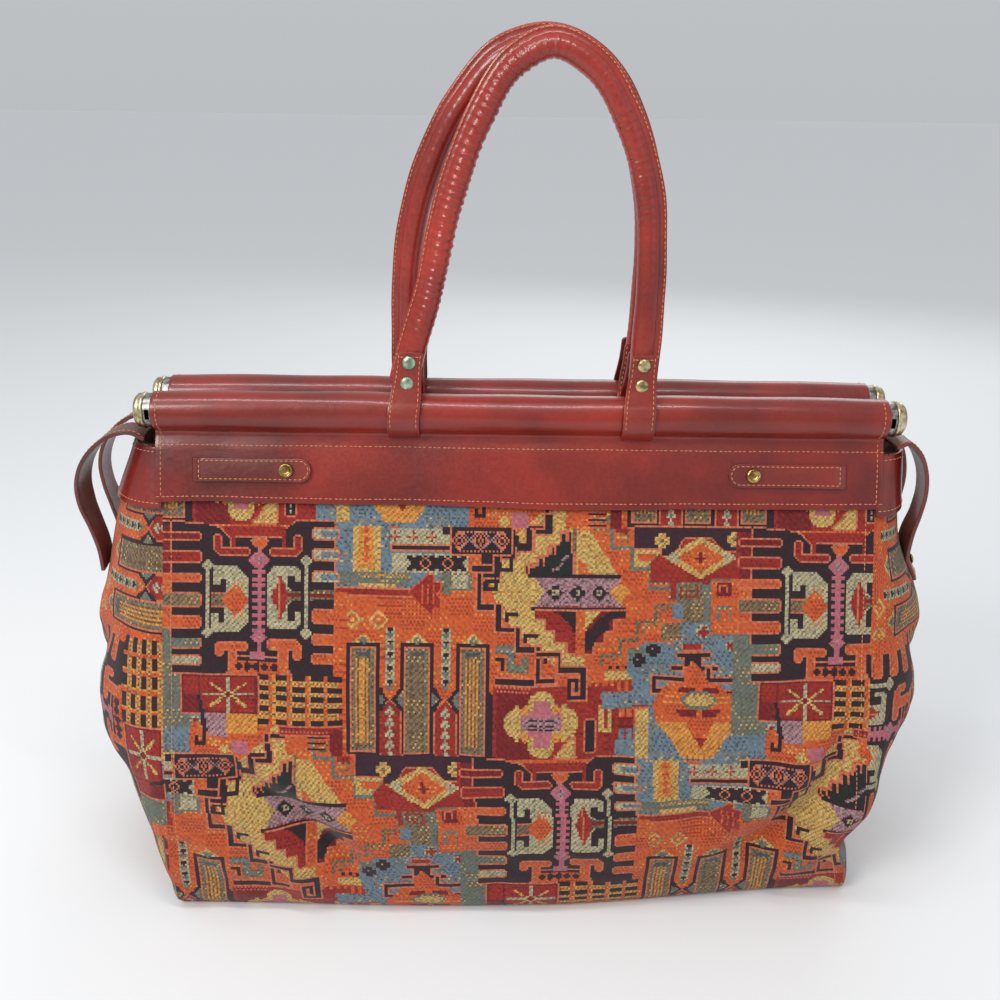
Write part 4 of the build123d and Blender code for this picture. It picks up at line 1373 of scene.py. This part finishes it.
tab_low, tab_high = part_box("right_tab")
tab_in, tab_out, tab_z = tab_low.x, tab_high.x, (tab_low.z + tab_high.z) / 2
slope = np.array([0.0, band_low_y - seam_y, seam_z - band_low_z]) / skirt
facing = np.array([0.0, -(seam_z - band_low_z), band_low_y - seam_y]) / skirt
tab_long, tab_half = tab_out - tab_in, 0.0084
band_face_y = -(band_low_y - (tab_z - band_low_z) * (band_low_y - seam_y) / (seam_z - band_low_z))
snap_x = (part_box("right_tab_snap")[0].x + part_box("right_tab_snap")[1].x) / 2


def tab_half_at(along):
    """Half a tab's width, at a distance from its slot: straight, then round at the free end."""
    from_end = np.clip((along - (tab_long - tab_half)) / tab_half, 0, 1)
    return tab_half * np.sqrt(np.clip(1 - from_end**2, 0, 1)) * (1 - 0.04 * np.sin(along / tab_long * math.pi))


def tab_place(way):
    """The face of a tab, from its left end to its right end. The slot is at its outer end."""
    def place(across, down):
        from_slot = across if way < 0 else 1 - across
        middle = 1 - (1 - 2 * down) ** 2
        up = tab_half_at(tab_long * from_slot) * (1 - 2 * down)
        rise = 0.0031 + 0.0006 * np.sin(from_slot * math.pi) * middle - 0.0022 * ease((0.10 - from_slot) / 0.10)
        spot = np.array([0, band_face_y, tab_z]) + up[:, None] * slope + rise[:, None] * facing
        spot[:, 0] = way * (tab_out - tab_long * from_slot)
        return spot
    return place


def tab_seam(way, in_from_edge=0.0020):
    """The line that the stitches follow, all round a tab: straight sides, a round end and across the slot."""
    radius = tab_half - in_from_edge
    route = [(0.005, -radius), (tab_long - tab_half, -radius)]
    for angle in np.linspace(-80, 80, 17):
        route.append((tab_long - tab_half + radius * math.cos(math.radians(angle)),
                      radius * math.sin(math.radians(angle))))
    route += [(tab_long - tab_half, radius), (0.005, radius), (0.005, -radius)]
    return [(along / tab_long if way < 0 else 1 - along / tab_long, 0.5 - up / (2 * float(tab_half_at(along))))
            for along, up in route]


snap_outline = [(0, 0.0012), (0.0016, 0.0011), (0.0026, 0.0013), (0.0031, 0.0022), (0.0037, 0.0027),
                (0.0045, 0.0024), (0.0051, 0.0014), (0.0052, 0.0002), (0.0030, -0.0006), (0, -0.0006)]
for end, way in (("left", -1), ("right", 1)):
    face = tab_place(way)
    tab = grid_piece(f"{end}_snap_tab", 64, 14, face)
    wall = tab.modifiers.new("thickness", "SOLIDIFY")
    wall.thickness = 0.0023
    wall.offset = -1
    tab.data.materials.append(strap_leather)
    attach(tab, f"{end}_tab_leather")
    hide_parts(f"{end}_tab")
    stitching(f"{end}_tab_stitching", f"{end}_tab_leather", [(face, tab_seam(way))])
    snap = turned_part(f"{end}_snap_cap", snap_outline,
                       Vector((way * snap_x, band_face_y, tab_z)) + Vector(facing) * 0.0034, facing,
                       snap_metal, steps=32)
    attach(snap, f"{end}_tab_leather")
    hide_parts(f"{end}_tab_snap")
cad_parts["tab_studs"].material_slots[0].material = snap_metal


# ---------------------------------------------------------------- end straps
# At each end two narrow straps of doubled leather hang from the bars' ends down to studs in the gusset,
# and bow outwards between them. They keep the mouth from opening too far.

strap_low, strap_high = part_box("right_front_strap")
strap_half = (strap_high.y - strap_low.y) / 2
strap_middle = -(strap_high.y + strap_low.y) / 2
strap_deep, strap_foot, bar_end = 0.0026, (0, 0, 0.12), (0, 0, 0.335)
strap_lines = {
    "left": [(0.2565, 0.3430), (0.266, 0.3475), (0.279, 0.3455), (0.292, 0.3370), (0.3025, 0.3240),
             (0.3080, 0.3080), (0.3075, 0.2900), (0.3035, 0.2740), (0.3000, 0.2580), (0.2990, 0.2410)],
    "right": [(0.2565, 0.3430), (0.265, 0.3465), (0.2745, 0.3400), (0.2825, 0.3260), (0.2860, 0.3080),
              (0.2845, 0.2900), (0.2810, 0.2740), (0.2800, 0.2580), (0.2820, 0.2410)],
}


def strap_place(end, toward):
    """The outer face of an end strap. Its lower end lies against the cloth of the gusset."""
    line = np.array(strap_lines[end])
    run = run_along(line)
    way = -1 if end == "left" else 1

    def place(across, down):
        along = down * run[-1]
        x = smooth_profile(np.stack([run, line[:, 0]], axis=1), along) + strap_deep
        z = smooth_profile(np.stack([run, line[:, 1]], axis=1), along)
        y = toward * strap_middle + way * (2 * across - 1) * strap_half * 0.98
        swing = np.arcsin(np.clip(y / smooth_profile(half_depth_at, z), -0.999, 0.999)) / math.pi
        cloth = abs(shell((1.5 + swing) if way > 0 else (3.5 - swing), z)[:, 0]) + strap_deep + 0.0003
        twist = 0.0012 * np.sin(down * math.pi * 1.4 + toward) * ease((0.80 - down) / 0.2)
        x = x + twist * (2 * across - 1) + 0.0005 * (1 - (2 * across - 1) ** 2)
        # above the gusset there is no cloth to lie on, so there its place falls away four times as fast
        cloth = cloth - 4 * np.clip(z - gusset_top + 0.006, 0, 1)
        x = (x + cloth + np.sqrt((x - cloth) ** 2 + 0.0014**2)) / 2
        return np.stack([way * x, y, z], axis=1)
    return place


stud_outline = [(0, 0.0014), (0.0020, 0.0012), (0.0034, 0.0006), (0.0042, -0.0002), (0.0042, -0.0008),
                (0.0022, -0.0010), (0, -0.0010)]
for end, way in (("left", -1), ("right", 1)):
    for side, toward in (("front", -1), ("back", 1)):
        face = strap_place(end, toward)
        strap = leather_piece(f"{end}_{side}_end_strap", 14, 90, face, strap_deep, end_leather)
        threads = stitching(f"{end}_{side}_end_strap_stitching", None, [
            (face, [(0.11, 0.02), (0.11, 0.97), (0.89, 0.97), (0.89, 0.02)])])
        foot = Vector(face(np.array([0.5]), np.array([0.90]))[0])
        stud = turned_part(f"{end}_{side}_strap_stud", stud_outline, foot + Vector((way * 0.0006, 0, 0)),
                           (way, 0, 0.1), snap_metal, steps=24)
        for piece, node in ((strap, f"{end}_{side}_strap"), (threads, None), (stud, f"{end}_strap_studs")):
            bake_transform(piece)
            if node:
                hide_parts(node)


# ---------------------------------------------------------------- seams of the tapestry
# The corner seams are topstitched through the turned-in cloth, a few millimetres inside each side panel.

for side, start in (("front", 0), ("back", 2)):
    face = panel_place(start)
    stitching(f"{side}_corner_stitching", f"{side}_side",
              [(face, [(0.012, 0.01), (0.012, 0.97)]), (face, [(0.988, 0.01), (0.988, 0.97)])])


# ---------------------------------------------------------------- floor, light and camera
# A pale seamless floor under a pale sky. The key light stands at the upper left, a narrow strip hangs over
# the rolls, a weak fill stands at the right and a rim light behind.

bm = bmesh.new()
bmesh.ops.create_grid(bm, x_segments=2, y_segments=2, size=30)
floor = smooth_object(bm, "floor")
floor_paper, nodes, links, floor_shader = new_finish("floor_paper", 0.85)
floor_shader.inputs["Base Color"].default_value = (*dyed(236, 238, 240), 1)
floor.data.materials.append(floor_paper)


def soft_light(name, place, target, size, watts, colour=(1, 1, 1)):
    lamp = bpy.data.lights.new(name, "AREA")
    lamp.shape = "RECTANGLE"
    lamp.size, lamp.size_y = size
    lamp.energy = watts
    lamp.color = colour
    light = bpy.data.objects.new(name, lamp)
    light.location = place
    light.rotation_euler = (Vector(target) - Vector(place)).to_track_quat("-Z", "Y").to_euler()
    bpy.context.scene.collection.objects.link(light)


soft_light("key", (-1.2, -1.3, 1.6), (-0.05, 0, 0.22), (0.7, 0.6), 20, (1.0, 0.97, 0.93))
soft_light("strip", (-0.15, -0.35, 1.35), (-0.05, 0, 0.37), (1.1, 0.06), 5)
soft_light("fill", (1.9, -1.5, 1.0), (0, 0, 0.2), (1.6, 1.4), 3, (0.95, 0.97, 1.0))
soft_light("rim", (0.6, 1.9, 1.3), (0, 0, 0.3), (1.6, 1.0), 9)
world = bpy.data.worlds.new("studio")
world.use_nodes = True
sky, sky_links = world.node_tree.nodes, world.node_tree.links
sky_direction = sky.new("ShaderNodeTexCoord")
sky_height = sky.new("ShaderNodeSeparateXYZ")
sky_ramp = sky.new("ShaderNodeValToRGB")
sky_ramp.color_ramp.elements[0].color = (0.50, 0.52, 0.54, 1)
sky_ramp.color_ramp.elements[1].color = (0.66, 0.67, 0.68, 1)
sky_links.new(sky_direction.outputs["Generated"], sky_height.inputs[0])
sky_links.new(sky_height.outputs["Z"], sky_ramp.inputs["Fac"])
sky_links.new(sky_ramp.outputs["Color"], sky["Background"].inputs["Color"])
bpy.context.scene.world = world
bpy.context.scene.view_settings.view_transform = "Standard"

camera_place = Vector((-0.018, -0.678, 0.564))
look_right, look_down, tilt = math.radians(0.4), math.radians(22.2), math.radians(0.82)
ahead = Vector((math.sin(look_right) * math.cos(look_down), math.cos(look_right) * math.cos(look_down),
                -math.sin(look_down)))
level = Vector((math.cos(look_right), -math.sin(look_right), 0))
upward = level.cross(ahead)
camera_x = level * math.cos(tilt) + upward * math.sin(tilt)
camera_y = upward * math.cos(tilt) - level * math.sin(tilt)
lens = bpy.data.cameras.new("camera")
lens.sensor_width = 36
lens.lens = 35.68
lens.clip_start = 0.02
camera = bpy.data.objects.new("camera", lens)
camera.matrix_world = Matrix((
    (camera_x.x, camera_y.x, -ahead.x, camera_place.x), (camera_x.y, camera_y.y, -ahead.y, camera_place.y),
    (camera_x.z, camera_y.z, -ahead.z, camera_place.z), (0, 0, 0, 1)))
bpy.context.scene.collection.objects.link(camera)
bpy.context.scene.camera = camera
